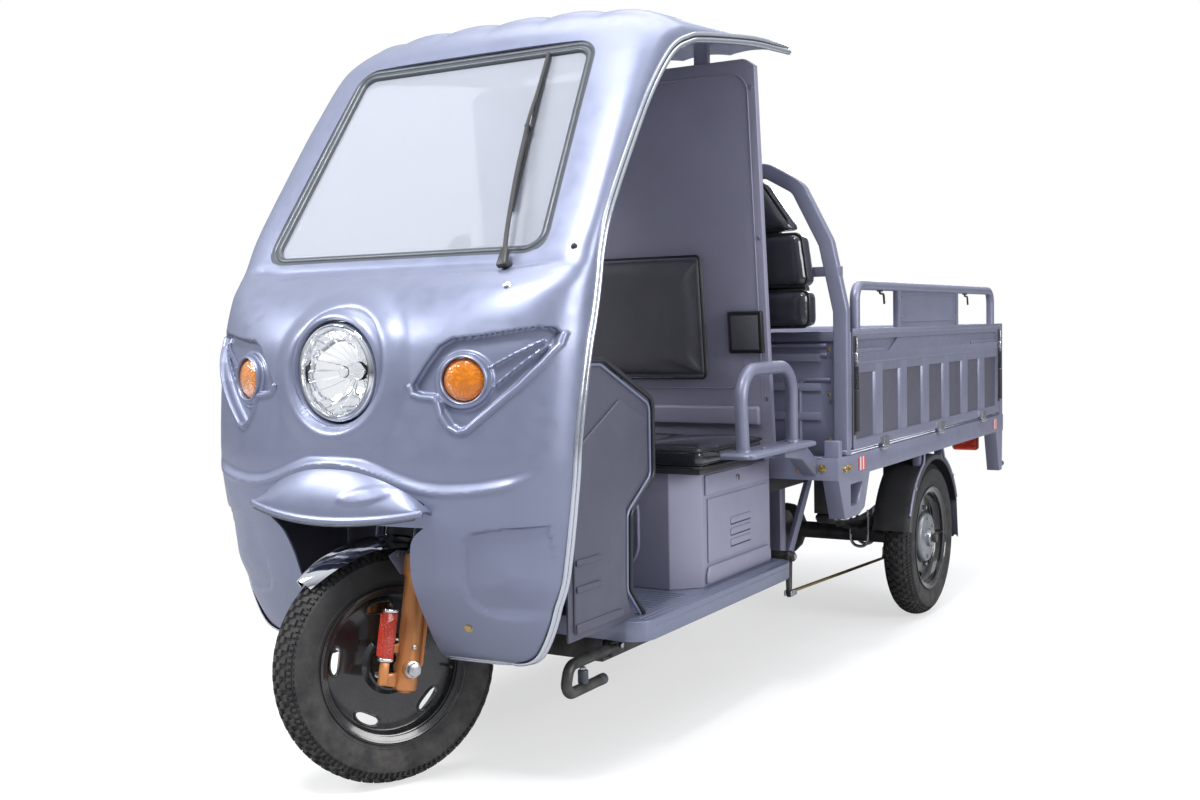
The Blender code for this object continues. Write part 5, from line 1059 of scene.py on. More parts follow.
shell_points, shell_normals = make_cab_shell()
make_edge_trim(shell_points, shell_normals)
for side_sign, side_name in SIDES:
    leaf_panel(side_sign, side_name)
make_windscreen()
make_wiper()
make_headlight()
make_signals()
make_visor()


# Wheels

HALF_TRACK, WHEELBASE, REAR_HUB_UP = 0.521, 2.052, 0.25
REAR_HUB = Matrix.Translation((HALF_TRACK, WHEELBASE, REAR_HUB_UP))
WHEEL_AT = {"front_wheel": STEERED, "rear_wheel_left": SHIFT @ REAR_HUB,
            "rear_wheel_right": SHIFT @ mirror(-1) @ REAR_HUB}
CROWN_AT = 0.195          # radius at which the tread's cross-section is centred
TREAD_BLOCKS = 58         # round each row
TREAD_ROWS = ((0, 7.5, 0), (16, 6.5, 0.5), (-16, 6.5, 0.5), (31, 6.0, 0), (-31, 6.0, 0))   # middle, half width, shift
SILVER_PAINT = surface("hub_silver", (0.33, 0.34, 0.37), 0.34, metal=0.7, grain=500, grain_bump=0.08, tone=0.08,
                       dirt=0.12)


def lug(centre, size, low, high, draft=0.8):
    """One tread block's corners: (across angle, around angle) centre and half sizes, between two crown radii."""
    across, around = centre
    wide, long = size
    corners = []
    for crown, share in ((low, 1.0), (high, draft)):
        for a, b in ((-1, -1), (1, -1), (1, 1), (-1, 1)):
            phi = across + a * wide * share
            turn = around + b * long * share
            radius = CROWN_AT + crown * math.cos(phi)
            corners.append((crown * math.sin(phi), radius * math.cos(turn), radius * math.sin(turn)))
    return corners


def make_tyre(body, node):
    carcass = [(0.1515, 0.034), (0.16, 0.0365), (0.1695, 0.0385), (0.174, 0.041), (0.176, 0.0405), (0.186, 0.044),
               (0.196, 0.0464), (0.206, 0.047), (0.214, 0.0466), (0.222, 0.0452)]
    arc = [(CROWN_AT + 0.0488 * math.cos(math.radians(a)), 0.0488 * math.sin(math.radians(a)))
           for a in range(54, -1, -6)]
    half = carcass + arc
    profile = half + [(r, -w) for r, w in reversed(half[:-1])]
    casing = lathe(profile, "x", 96, 30, closed=True)
    verts, faces = [], []

    def add(corners):
        base = len(verts)
        verts.extend(corners)
        faces.extend([(base + 4, base + 5, base + 6, base + 7)]
                     + [(base + k, base + (k + 1) % 4, base + 4 + (k + 1) % 4, base + 4 + k) for k in range(4)])

    for middle, wide, shift in TREAD_ROWS:
        for turn in turns(TREAD_BLOCKS, shift):
            add(lug((math.radians(middle), turn), (math.radians(wide), 0.032), 0.048, 0.0549))
    for side in (1, -1):
        for k, turn in enumerate(turns(2 * TREAD_BLOCKS)):
            long = 0.0155 if k % 2 else 0.012
            add(lug((side * math.radians(45.5), turn), (math.radians(5.5), long), 0.0475, 0.054))
            add(lug((side * math.radians(57), turn), (math.radians(4.5), long * 0.9), 0.047, 0.0518))
    mesh = bpy.data.meshes.new("tread")
    mesh.from_pydata(verts, [], faces)
    bm = bmesh.new()
    bm.from_mesh(mesh)
    assemble(node + "_finish", coated(TYRE, casing, mesh_object("tread", bm, 25)), WHEEL_AT[body], body, "tyre", node)


def oval(middle, inner, outer, half_angle, count=26):
    """An oval along a circle, as (y, z) points, for a wheel's slot."""
    points = []
    for t in turns(count):
        bulge = math.copysign(abs(math.cos(t)) ** 0.8, math.cos(t))
        radius = (inner + outer) / 2 + (outer - inner) / 2 * math.sin(t)
        around = middle + half_angle * bulge
        points.append((radius * math.cos(around), radius * math.sin(around)))
    return points


def make_rim(body, node, rear):
    outer = [(0.1665, 0.0405), (0.1655, 0.0425), (0.164, 0.0425), (0.1622, 0.04), (0.159, 0.0392), (0.1572, 0.034),
             (0.153, 0.033), (0.151, 0.028), (0.1472, 0.027), (0.1455, 0.0205), (0.143, 0.014), (0.1395, 0.0105),
             (0.135, 0.0095)]
    if rear:
        dish = [(0.09, 0.009), (0.083, 0.01), (0.08, 0.013), (0.06, 0.0135), (0.0105, 0.0135)]
        drum, depth = 0.085, 0.044
    else:
        dish = [(0.106, 0.01), (0.064, 0.012), (0.058, 0.018), (0.0545, 0.0225), (0.05, 0.0235),
                (0.047, 0.0215), (0.044, 0.018), (0.033, 0.0185), (0.031, 0.028), (0.028, 0.032),
                (0.0225, 0.033), (0.0215, 0.046), (0.02, 0.047), (0.0105, 0.047)]
        drum, depth = 0.07, 0.04
    inner = [(0.0105, -0.047), (0.029, -0.047), (0.03, -0.01), (drum - 0.008, -0.01), (drum - 0.008, -depth),
             (drum, -depth), (drum, -0.001), (0.138, 0.003), (0.144, -0.01), (0.1465, -0.03), (0.148, -0.0405),
             (0.166, -0.042), (0.1665, -0.04), (0.15, -0.036), (0.1495, 0.0355)]
    rim = lathe(outer + dish + inner, "x", 96, 28, closed=True)
    slots, lips = [], []
    for middle in turns(5, 0.5):
        slots.append(slab(oval(middle, 0.1125, 0.1335, 0.235), -0.02, 0.06, "x"))
        ring = [(0.0108, *p) for p in oval(middle, 0.111, 0.135, 0.25, 40)]
        lips.append(bar(ring, 0.0026, 10, cyclic=True))
    rim = boolean(coat(rim, WHEEL), slots, smooth=28)
    pieces = [rim, *coated(WHEEL, *lips)]
    radius, base = (0.098, 0.0092) if rear else (0.0385, 0.018)
    for y, z in circle(radius, 5):
        pieces.append(bolt((base, y, z), (base + 0.008, y, z), 0.0075, 0.0008))
    if rear:
        cap = lathe([(0.0105, 0.014), (0.078, 0.014), (0.0795, 0.018), (0.0785, 0.025), (0.075, 0.03),
                     (0.069, 0.0312), (0.066, 0.0285), (0.056, 0.028), (0.048, 0.03), (0.03, 0.033),
                     (0.028, 0.042), (0.025, 0.0455), (0.016, 0.046), (0.0105, 0.046)], "x", 80, 28, closed=True)
        pieces.append(coat(cap, SILVER_PAINT))
        for y, z in circle(0.062, 6, 0.5):
            pieces.append(bolt((0.027, y, z), (0.0325, y, z), 0.0055, 0.0006, SILVER_PAINT))
    valve = stud((0.02, 0.14, 0), (0.038, 0.133, 0), 0.0032, 12)
    pieces.append(coat(valve, PLASTIC))
    assemble(node + "_finish", pieces, WHEEL_AT[body], body, "wheel_paint", node)


for wheel, tyre_node, rim_node in (("front_wheel", "front_tyre", "front_rim"),
                                   ("rear_wheel_left", "rear_tyre_left", "rear_rim_left"),
                                   ("rear_wheel_right", "rear_tyre_right", "rear_rim_right")):
    make_tyre(wheel, tyre_node)
    make_rim(wheel, rim_node, wheel != "front_wheel")


# Fork, fender and reflectors, drawn upright about the front wheel's centre

FORK_X = 0.098


def both(obj):
    """A piece and its twin on the other side of the middle plane."""
    twin = link(bpy.data.objects.new(obj.name, obj.data.copy()))
    return [obj, placed(twin, mirror(-1))]


def make_fork():
    fork_line = Matrix.Translation((FORK_X, 0, 0))
    for side, name in SIDES:
        leg = lathe([(0.0, -0.05), (0.012, -0.05), (0.015, -0.046), (0.023, -0.044), (0.0245, -0.04), (0.0245, 0.02),
                     (0.0235, 0.026), (0.0235, 0.15), (0.024, 0.185), (0.0262, 0.19), (0.0285, 0.193),
                     (0.0292, 0.2), (0.0292, 0.226), (0.0275, 0.2345), (0.017, 0.235), (0.017, 0.21),
                     (0.0, 0.21)], "z", 48, 35)
        placed(leg, fork_line)
        lug_body = stud((FORK_X - 0.0275, 0, 0), (FORK_X + 0.0275, 0, 0), 0.019, 40, 0.002)
        rear_stay = bar([(FORK_X, 0.016, -0.01), (FORK_X, 0.03, 0.01), (FORK_X, 0.031, 0.15), (FORK_X, 0.018, 0.185)],
                        0.0065, 14)
        bracket = slab([(-0.062, -0.036), (-0.018, -0.04), (-0.016, -0.008), (-0.058, -0.014)], FORK_X - 0.006,
                       FORK_X + 0.006, "x", 0.002)
        foot = block((FORK_X + 0.006, FORK_X + 0.019), (-0.066, -0.047), (-0.036, 0.0118), 0.003)
        arm = slab([(-0.06, 0.03), (-0.018, 0.03), (-0.018, 0.052), (-0.06, 0.04)], FORK_X - 0.003, FORK_X + 0.0025,
                   "x", 0.001)
        pieces = coated(BRONZE, leg, lug_body, rear_stay, bracket, foot, arm)
        dust = lathe([(0.0169, 0.2352), (0.0255, 0.2352), (0.0262, 0.238), (0.024, 0.244), (0.019, 0.2455),
                      (0.0169, 0.2455)], "z", 40, 35, closed=True)
        pieces.append(coat(placed(dust, fork_line), PLASTIC))
        for z, r in ((0.045, 0.005), (0.16, 0.0045)):
            pieces.append(bolt((FORK_X + 0.022, 0, z), (FORK_X + 0.0275, 0, z), r, 0.0006))
        assemble("fork_leg_" + name + "_finish", pieces, STEERED @ mirror(side), "steering", "gold_paint",
                 "fork_leg_" + name)
        tube = lathe([(0.0, 0.18), (0.0165, 0.18), (0.0165, 0.524), (0.015, 0.528), (0.0, 0.528)], "z", 40, 35)
        assemble("stanchion", coated(CHROME, tube), STEERED @ Matrix.Translation((side * FORK_X, 0, 0)), "steering",
                 "chrome", "fork_tube_" + name)
    nut = FORK_X + 0.0283
    axle = [stud((-nut - 0.01, 0, 0), (nut + 0.01, 0, 0), 0.0098, 32, 0.001)]
    for side in (1, -1):
        axle.append(stud((side * nut, 0, 0), (side * (nut + 0.0025), 0, 0), 0.0175, 36, 0.0005))
        axle.append(bolt((side * (nut + 0.0027), 0, 0), (side * (nut + 0.0125), 0, 0), 0.015, 0.0015))
    assemble("front_axle_finish", coated(BRIGHT_STEEL, *axle), STEERED, "steering", "chrome", "front_axle")


def make_fender():
    ahead, behind = math.radians(54), math.radians(48)
    steps, across = 72, 28
    points = np.zeros((steps + 1, across + 1, 3))
    for i in range(steps + 1):
        around = ahead - (ahead + behind) * i / steps
        end = max(0.0, 1 - i / (steps * 3 / 14))
        width = 0.058 * math.sqrt(1 - 0.75 * end ** 2) * (1 - 0.1 * end)
        for k in range(across + 1):
            side = 2 * k / across - 1
            crest = 0.0025 * math.exp(-(side / 0.16) ** 2)
            rolled = 0.0032 * max(0.0, (abs(side) - 0.93) / 0.07)
            radius = 0.2708 - 0.022 * side ** 2 + crest * 0.6 - rolled * 0.6
            points[i, k] = (width * side, -radius * math.sin(around), radius * math.cos(around))
    fender = coat(sheet_of(grid(points, smooth=60), 0.0022), CHROME)
    brackets = []
    for side in (1, -1):
        outline = [(-0.052, 0.226), (-0.034, 0.24), (0.03, 0.24), (0.034, 0.222), (0.016, 0.196), (-0.02, 0.19)]
        brackets += coated(BED_PAINT, slab(outline, side * 0.0595, side * 0.0625, "x", 0.0008),
                           block((side * 0.0625, side * 0.07), (-0.018, 0.018), (0.196, 0.222), 0.002))
        for y in (-0.03, 0.022):
            brackets.append(bolt((side * 0.0625, y, 0.231), (side * 0.0665, y, 0.231), 0.005, 0.0005))
    assemble("front_fender_finish", [fender, *brackets], STEERED, "steering", "chrome", "front_fender")


def squared_ring(count, power):
    """Unit points of a circle pushed out towards a square."""
    return [tuple(math.copysign(abs(c) ** power, c) for c in point) for point in circle(1, count)]


def make_reflectors():
    for side, name in SIDES:
        out = FORK_X + 0.014
        outline = [(out + 0.0105 * u, -0.057 + 0.0155 * v) for u, v in squared_ring(24, 0.5)]
        lamp = slab(outline, 0.02, 0.112, "z", 0.0015)
        flutes = []
        for k in range(5):
            x, y = out - 0.009 + 0.0045 * k, -0.0735 + 0.0008 * abs(k - 2)
            flutes.append(bar([(x, y, 0.024), (x, y, 0.108)], 0.0021, 10))
        caps = [slab(outline, low, high, "z", 0.002) for low, high in ((0.0125, 0.02), (0.112, 0.1195))]
        pieces = coated(RED, lamp, *flutes) + coated(CHROME, *caps)
        assemble("fork_reflector_" + name + "_finish", pieces, STEERED @ mirror(side), "steering", "red_lens",
                 "fork_reflector_" + name)


make_fork()
make_fender()
make_reflectors()


# Handlebar and mirrors, drawn upright like the fork

BAR_TOP = 0.79           # the handlebar's middle above the hub


def make_handlebar():
    top = BAR_TOP
    path = [(0.33, 0.17, top + 0.02), (0.2, 0.135, top + 0.035), (0.16, 0.02, top), (-0.16, 0.02, top),
            (-0.2, 0.135, top + 0.035), (-0.33, 0.17, top + 0.02)]
    pieces = [coat(bar(bend_points(path, 0.05, 10), 0.0118, 20), STEEL)]
    for side in (1, -1):
        inner, outer = Vector((side * 0.222, 0.141, top + 0.0328)), Vector((side * 0.331, 0.1703, top + 0.0198))
        along = (outer - inner).normalized()
        length = (outer - inner).length
        profile = [(0.0119, 0.0), (0.0185, 0.0), (0.019, 0.003), (0.0165, 0.006)]
        pitch = (length - 0.022) / 9
        for k in range(9):
            start = 0.01 + (length - 0.022) * k / 9
            profile += [(0.0168, start), (0.0168, start + pitch * 0.55), (0.0156, start + pitch * 0.65),
                        (0.0156, start + pitch * 0.95)]
        profile += [(0.0175, length - 0.008), (0.0175, length - 0.001), (0.0119, length)]
        grip = lathe(profile, "z", 28, 35, closed=True)
        placed(grip, Matrix.Translation(inner) @ along.to_track_quat("Z", "Y").to_matrix().to_4x4())
        pieces.append(coat(grip, RUBBER))
        switch = block((-0.015, 0.015), (-0.02, 0.02), (-0.019, 0.019), 0.006, 3)
        placed(switch, Matrix.Translation(inner - along * 0.022) @ along.to_track_quat("X", "Z").to_matrix().to_4x4())
        pieces.append(coat(switch, PLASTIC))
        root = inner - along * 0.012 + Vector((0, -0.018, 0.0))
        lever = smooth_path([root, root + Vector((side * 0.02, -0.022, 0)),
                             root + Vector((side * 0.07, -0.02, -0.002)),
                             root + Vector((side * 0.118, 0.004, -0.006))], 8)
        pieces.append(coat(bar(lever, 0.0048, 12), BRIGHT_STEEL))
    pieces += coated(STEEL, *both(bar([(0.045, 0.012, 0.505), (0.045, 0.02, top)], 0.0115, 18)))
    pieces.append(coat(block((-0.126, 0.126), (-0.026, 0.026), (0.5, 0.522), 0.007, 3), STEEL))
    pieces += both(bolt((FORK_X, 0, 0.5285), (FORK_X, 0, 0.536), 0.012))
    cluster = block((-0.085, 0.085), (-0.045, 0.035), (top - 0.02, top + 0.05), 0.018, 4)
    pieces.append(coat(cluster, PLASTIC))
    screen = block((-0.06, 0.06), (0.0345, 0.0372), (top - 0.002, top + 0.036), 0.001)
    pieces.append(coat(screen, LAMP_GLASS))
    pieces += coated(STEEL, *both(stud((0.118, 0.02, top), (0.118, 0.02, top + 0.022), 0.009, 24, 0.001)))
    assemble("handlebar_finish", pieces, STEERED, "steering", "black_plastic", "handlebar")


def make_mirrors():
    top = BAR_TOP
    for side, name in SIDES:
        steps = 14
        points = []
        for i in range(steps + 1):
            t = math.pi / 2 * i / steps
            points.append([(0.0545 * u * math.sin(t), -0.0145 * math.cos(t) ** 0.8, 0.0355 * v * math.sin(t))
                           for u, v in squared_ring(36, 0.75)])
        rim = [(p[0], 0.0038, p[2]) for p in points[-1]]
        inset = [(p[0] * 0.93, 0.0038, p[2] * 0.92) for p in points[-1]]
        recess = [(p[0] * 0.92, 0.002, p[2] * 0.91) for p in points[-1]]
        back = grid(np.array(points + [rim, inset, recess]), close_v=True, smooth=50)
        bm = bmesh.new()
        bm.from_mesh(back.data)
        bmesh.ops.remove_doubles(bm, verts=bm.verts, dist=1e-6)
        bpy.data.objects.remove(back)
        shell = coat(mesh_object("shell", bm, 50), PLASTIC)
        pane = coat(slab([(p[0], p[2]) for p in recess], 0.0005, 0.0024, "y"), CHROME)
        head = placed(join("head", shell, pane), Matrix.Translation((side * 0.17, 0.15, top + 0.17)))
        path = [(side * 0.118, 0.02, top + 0.0223), (side * 0.118, 0.02, top + 0.09),
                (side * 0.165, 0.146, top + 0.16)]
        stalk = coat(bar(bend_points(path, 0.03, 8), 0.0048, 14), STEEL)
        nut = bolt((side * 0.118, 0.02, top + 0.0224), (side * 0.118, 0.02, top + 0.034), 0.0085, 0.0008, STEEL)
        assemble("mirror_" + name + "_finish", [head, stalk, nut], STEERED, "steering", "black_plastic",
                 "mirror_" + name)


make_handlebar()
make_mirrors()


# Floor, dash fairing, seat and rear panel, drawn with y measured back from the front axle

PAD = surface("pad_cloth", (0.085, 0.082, 0.1), 0.62, grain=260, grain_bump=0.35, wave=9, tone=0.1)
PIPING = surface("pad_piping", (0.012, 0.012, 0.014), 0.35, grain=400, grain_bump=0.1, tone=0.15)
SEAM_DARK = surface("seam_shadow", (0.03, 0.03, 0.042), 0.6, grain=400, tone=0.1)
DASH_PROFILE = ((0.098, 0.892), (0.24, 0.888), (0.45, 0.792), (0.45, 0.62), (0.343, 0.55), (0.338, 0.38),
                (0.395, 0.318))
PANEL_LEAN = (SHIFT @ Matrix.Translation((0, 1.058, 0.6003)) @ Matrix.Rotation(math.radians(5.5), 4, "X"))


def tinted(node, rows, material=None, bevel=0.0025, segments=2, smooth=50):
    """A dressed node whose faces within boxes, in the vehicle's own measures, get other finishes."""
    obj = dress(node, material, bevel, segments, smooth)
    for finish_of, low, high in rows:
        if finish_of.name not in obj.data.materials:
            obj.data.materials.append(finish_of)
        index = obj.data.materials.find(finish_of.name)
        for face in obj.data.polygons:
            place = SHIFT.inverted() @ obj.matrix_world @ face.center
            if all(low[k] <= place[k] <= high[k] for k in range(3)):
                face.material_index = index
    return obj


def puffed(obj, held, voxel, cap, pressure=4.0, frames=20):
    """A closed form blown out a little by a cloth simulation; vertices for which held() is true stay."""
    remesh = obj.modifiers.new("even", "REMESH")
    remesh.mode = "VOXEL"
    remesh.voxel_size = voxel
    obj = applied(obj, 0)
    start = np.array([v.co[:] for v in obj.data.vertices])
    group = obj.vertex_groups.new(name="held")
    for index, place in enumerate(start):
        weight = held(place)
        if weight > 0:
            group.add([index], weight, "REPLACE")
    cloth = obj.modifiers.new("cloth", "CLOTH")
    settings = cloth.settings
    settings.quality = 5
    settings.mass = 0.3
    settings.tension_stiffness = 12
    settings.compression_stiffness = 12
    settings.shear_stiffness = 5
    settings.bending_stiffness = 0.6
    settings.use_pressure = True
    settings.uniform_pressure_force = pressure
    settings.vertex_group_mass = "held"
    settings.effector_weights.gravity = 0
    cloth.collision_settings.use_collision = False
    cloth.point_cache.frame_start = 1
    cloth.point_cache.frame_end = frames
    scene = bpy.context.scene
    for frame_number in range(1, frames + 1):
        scene.frame_set(frame_number)
    bpy.context.view_layer.update()
    result = obj.evaluated_get(bpy.context.evaluated_depsgraph_get())
    end = np.array([v.co[:] for v in result.data.vertices])
    obj.modifiers.clear()
    scene.frame_set(1)
    move = end - start
    far = np.linalg.norm(move, axis=1, keepdims=True)
    move *= np.minimum(1.0, cap / np.maximum(far, 1e-9))
    for vertex, place in zip(obj.data.vertices, start + move):
        vertex.co = place
    fine = obj.modifiers.new("fine", "SUBSURF")
    fine.levels = fine.render_levels = 1
    return applied(obj, 0)


def near(value, lines, width):
    return any(abs(value - line) < width for line in lines)


def make_seat_cushion():
    body = block((-0.432, 0.432), (0.64, 1.012), (0.6135, 0.664), 0.018, 4)
    seams = (-0.215, 0.215)

    def held(place):
        if place[2] < 0.62:
            return 1.0
        if near(place[0], seams, 0.004) and 0.66 < place[1] < 0.99:
            return 0.9
        return 0.8 if near(place[1], (0.665, 0.99), 0.004) and place[2] > 0.655 else 0.0

    seat = puffed(body, held, 0.0085, 0.02, 6.0)
    pieces = [coat(seat, VINYL)]
    for z, out in ((0.6165, 0.436), (0.6565, 0.4325)):
        loop = [(x, y, z) for x, y in rect((-out, out), (0.632, 1.013))]
        pieces.append(coat(loop_bar(loop, 0.022, 6, 0.0032), PIPING))
    made = assemble("seat_cushion_finish", pieces, SHIFT, "seat", "black_vinyl", "seat_cushion")


def make_back_pads():
    body = block((-0.27, 0.27), (-0.036, -0.0008), (0.221, 0.539), 0.01, 3)
    pad = puffed(body, lambda p: 1.0 if p[1] > -0.006 else 0.0, 0.0072, 0.006, 3.0)
    edge = loop_bar([(x, -0.034, z) for x, z in rect((-0.272, 0.272), (0.218, 0.542))], 0.012, 5, 0.0035)
    made = assemble("cab_back_pad_finish", [coat(pad, PAD), coat(edge, PIPING)], PANEL_LEAN, "chassis", "black_vinyl",
                    "cab_back_pad")
    for side, name in SIDES:
        low, high = sorted((side * 0.335, side * 0.432))
        body = block((low, high), (-0.0175, -0.0005), (0.281, 0.391), 0.004, 3)
        rim = block((low + 0.01, high - 0.01), (-0.0182, -0.0165), (0.291, 0.381), 0.0008, 2)
        assemble("cab_side_pad_" + name + "_finish", [coat(body, PIPING), coat(rim, PAD)], PANEL_LEAN, "chassis",
                 "rubber", "cab_side_pad_" + name)


def make_rear_panel():
    # The rear panel takes the lighter copy of the body paint, painted light.
    dress("cab_rear_panel", PAINT_DULL_PAINTED_LIGHT, 0.004, 3)
    pieces = [loop_bar([(x, -0.0002, z) for x, z in rect((-0.418, 0.418), (0.105, 1.0))], 0.05, 8, 0.0021)]
    seam = [(-0.415, 0.186), (0.33, 0.186), (0.372, 0.205), (0.372, 0.262)]
    pieces.append(bar(bend_points([(x, -0.0002, z) for x, z in seam], 0.02, 6), 0.0016, 10))
    ledge = block((-0.412, 0.412), (-0.0185, 0.0005), (0.09, 0.14), 0.007, 4)
    assemble("rear_panel_beads", coated(PAINT_DULL_PAINTED_LIGHT, *pieces, ledge), PANEL_LEAN, "chassis", "body_paint")
    screws = []
    for side in (1, -1):
        for z in (0.16, 0.58, 0.96):
            screws.append(stud((side * 0.429, -0.003, z), (side * 0.429, 0.0005, z), 0.0048, 20, 0.001))
    assemble("rear_panel_screws", coated(BRIGHT_STEEL, *screws), PANEL_LEAN, "chassis", "chrome")


def make_dash():
    # The dash takes the darker copy of the body paint, a painted shade.
    dress("dash_fairing", DASH_PAINT_PAINTED_SHADE, 0.006, 3)
    trim = bend_points([(0.408, y, z) for y, z in DASH_PROFILE], 0.03, 8)
    pieces = coated(TRIM_BLACK, *both(bar(trim, 0.0055, 12)))
    bead = bend_points([(0.4062, y - 0.013 * (y > 0.2), z - 0.01 * (z > 0.7)) for y, z in DASH_PROFILE], 0.028, 8)
    pieces += coated(PAINT, *both(bar(bead, 0.0038, 10)))
    assemble("dash_trim", pieces, SHIFT, "chassis", "rubber")
    facet = [(0.104, 0.7), (0.3, 0.8), (0.415, 0.752), (0.42, 0.64), (0.32, 0.566), (0.314, 0.395),
             (0.33, 0.33), (0.104, 0.33)]
    low = [(0.104, 0.33), (0.3, 0.33), (0.29, 0.35), (0.104, 0.35)]
    pieces = both(slab(facet, 0.4035, 0.4115, "x", 0.006, 3)) + both(slab(low, 0.409, 0.416, "x", 0.003))
    for z in (0.415, 0.47):
        pieces += both(slab([(0.106, z), (0.215, z), (0.2, z + 0.012), (0.106, z + 0.012)], 0.41, 0.4165, "x", 0.002))
    top = block((-0.3, 0.3), (0.4455, 0.4525), (0.64, 0.772), 0.003, 3)
    assemble("dash_facets", coated(DASH_PAINT_PAINTED_SHADE, *pieces, top), SHIFT, "chassis", "body_paint")
    bits = [coat(stud((0.19, 0.4515, 0.706), (0.19, 0.456, 0.706), 0.011, 32, 0.001), BRIGHT_STEEL),
            coat(block((-0.05, 0.05), (0.4522, 0.4545), (0.755, 0.764), 0.0008), PLASTIC)]
    assemble("dash_fittings", bits, SHIFT, "chassis", "chrome")


def make_seat_box():
    # The seat box and its covers take the lighter copy of the body paint, painted light.
    dress("seat_box", PAINT_DULL_PAINTED_LIGHT, 0.012, 4)
    dress("seat_pan", PLASTIC, 0.003)
    x = 0.4002
    pieces = []
    for side in (1, -1):
        def face(outline, out, bevel, side=side):
            return slab(outline, side * x, side * (x + out), "x", bevel, 3)

        top, door = rect((0.724, 1.108), (0.54, 0.59)), rect((0.736, 1.098), (0.372, 0.53))
        ledge = [(0.724, 0.322), (1.108, 0.322), (1.108, 0.345), (1.098, 0.364), (0.736, 0.364), (0.724, 0.345)]
        pieces += coated(PAINT_DULL_PAINTED_LIGHT, face(top, 0.005, 0.0022), face(door, 0.0042, 0.0018), face(ledge, 0.0085, 0.004))
        for z in (0.452, 0.424, 0.396):
            hood = [(0.86, z), (0.985, z), (0.985, z + 0.012), (0.978, z + 0.017), (0.867, z + 0.017),
                    (0.86, z + 0.012)]
            pieces.append(coat(face(hood, 0.0075, 0.0024), PAINT_DULL_PAINTED_LIGHT))
            pieces.append(coat(face(rect((0.863, 0.982), (z - 0.0035, z)), 0.0047, 0), SEAM_DARK))
        lock = stud((side * (x + 0.004), 0.903, 0.566), (side * (x + 0.0095), 0.903, 0.566), 0.0085, 32, 0.001)
        pieces.append(coat(lock, BRIGHT_STEEL))
        keyhole = block((side * (x + 0.009), side * (x + 0.0105)), (0.9015, 0.9045), (0.5605, 0.5715), 0)
        pieces.append(coat(keyhole, SEAM_DARK))
    path = bent_loop([(x, 0.6495, z) for x, z in rect((-0.255, 0.255), (0.356, 0.568))], 0.07, 10)
    pieces.append(coat(bar(path, 0.0048, 12, cyclic=True), PAINT_DULL_PAINTED_LIGHT))
    inner = slab([(p[0] * 0.94, p[2] * 0.94 + 0.0277) for p in path], 0.6455, 0.6498, "y", 0.002)
    pieces.append(coat(inner, PAINT_DULL_PAINTED_LIGHT))
    for z in (0.43, 0.462, 0.494):
        pieces.append(coat(block((-0.16, 0.16), (0.6425, 0.646), (z, z + 0.01), 0.0016), PAINT))
    assemble("seat_box_covers", pieces, SHIFT, "chassis", "body_paint")


def make_floor():
    dress("floor_pan", PAINT, 0.008, 3)
    pieces = []
    for side in (1, -1):
        for out in (0.436, 0.422):
            pieces.append(bar([(side * out, 0.345, 0.3146), (side * out, 1.125, 0.3146)], 0.0021, 10))
        pieces.append(bar([(side * 0.4545, 0.365, 0.3005), (side * 0.4545, 1.105, 0.3005)], 0.0019, 10))
    for k in range(12):
        y = 0.372 + k * 0.0225
        pieces.append(bar([(-0.395, y, 0.3146), (0.395, y, 0.3146)], 0.0021, 8))
    assemble("floor_ribs", coated(PAINT, *pieces), SHIFT, "chassis", "body_paint")


make_seat_cushion()
make_back_pads()
make_rear_panel()
make_dash()
make_seat_box()
make_floor()


# Cargo bed, gates and headboard, drawn with y measured back from the front axle

W = 0.58                 # half the bed's width
STRIPE_RED = surface("reflective_red", (0.62, 0.035, 0.03), 0.35, grain=900, grain_bump=0.15, tone=0.08)
STRIPE_WHITE = surface("reflective_white", (0.62, 0.63, 0.66), 0.35, grain=900, grain_bump=0.15, tone=0.05)
# A darker copy of the bed paint for the gate sheets between the raised ribs: painted shade in the recesses.
BED_PAINTED_SHADE = surface("bed_paint_painted_recess_shade", (0.105, 0.104, 0.14), 0.5, metal=0.25, grain=700, grain_bump=0.1, tone=0.1,
                    dirt=0.15)
GATE_SHEET_PAINTED_SHADE = (BED_PAINTED_SHADE, (0.569, 1.27, 0.61), (0.5712, 2.87, 0.845))
GATE_LATCH = (PLASTIC, (0.5805, 1.27, 0.63), (0.6, 2.87, 0.93))
GATE_HINGE = (BRIGHT_STEEL, (0.5805, 1.27, 0.58), (0.6, 2.87, 0.627))


def side_box(box, side):
    """A finish's box, moved to the other side for the right-hand gate."""
    finish_of, low, high = box
    return box if side > 0 else (finish_of, (-high[0], *low[1:]), (-low[0], *high[1:]))


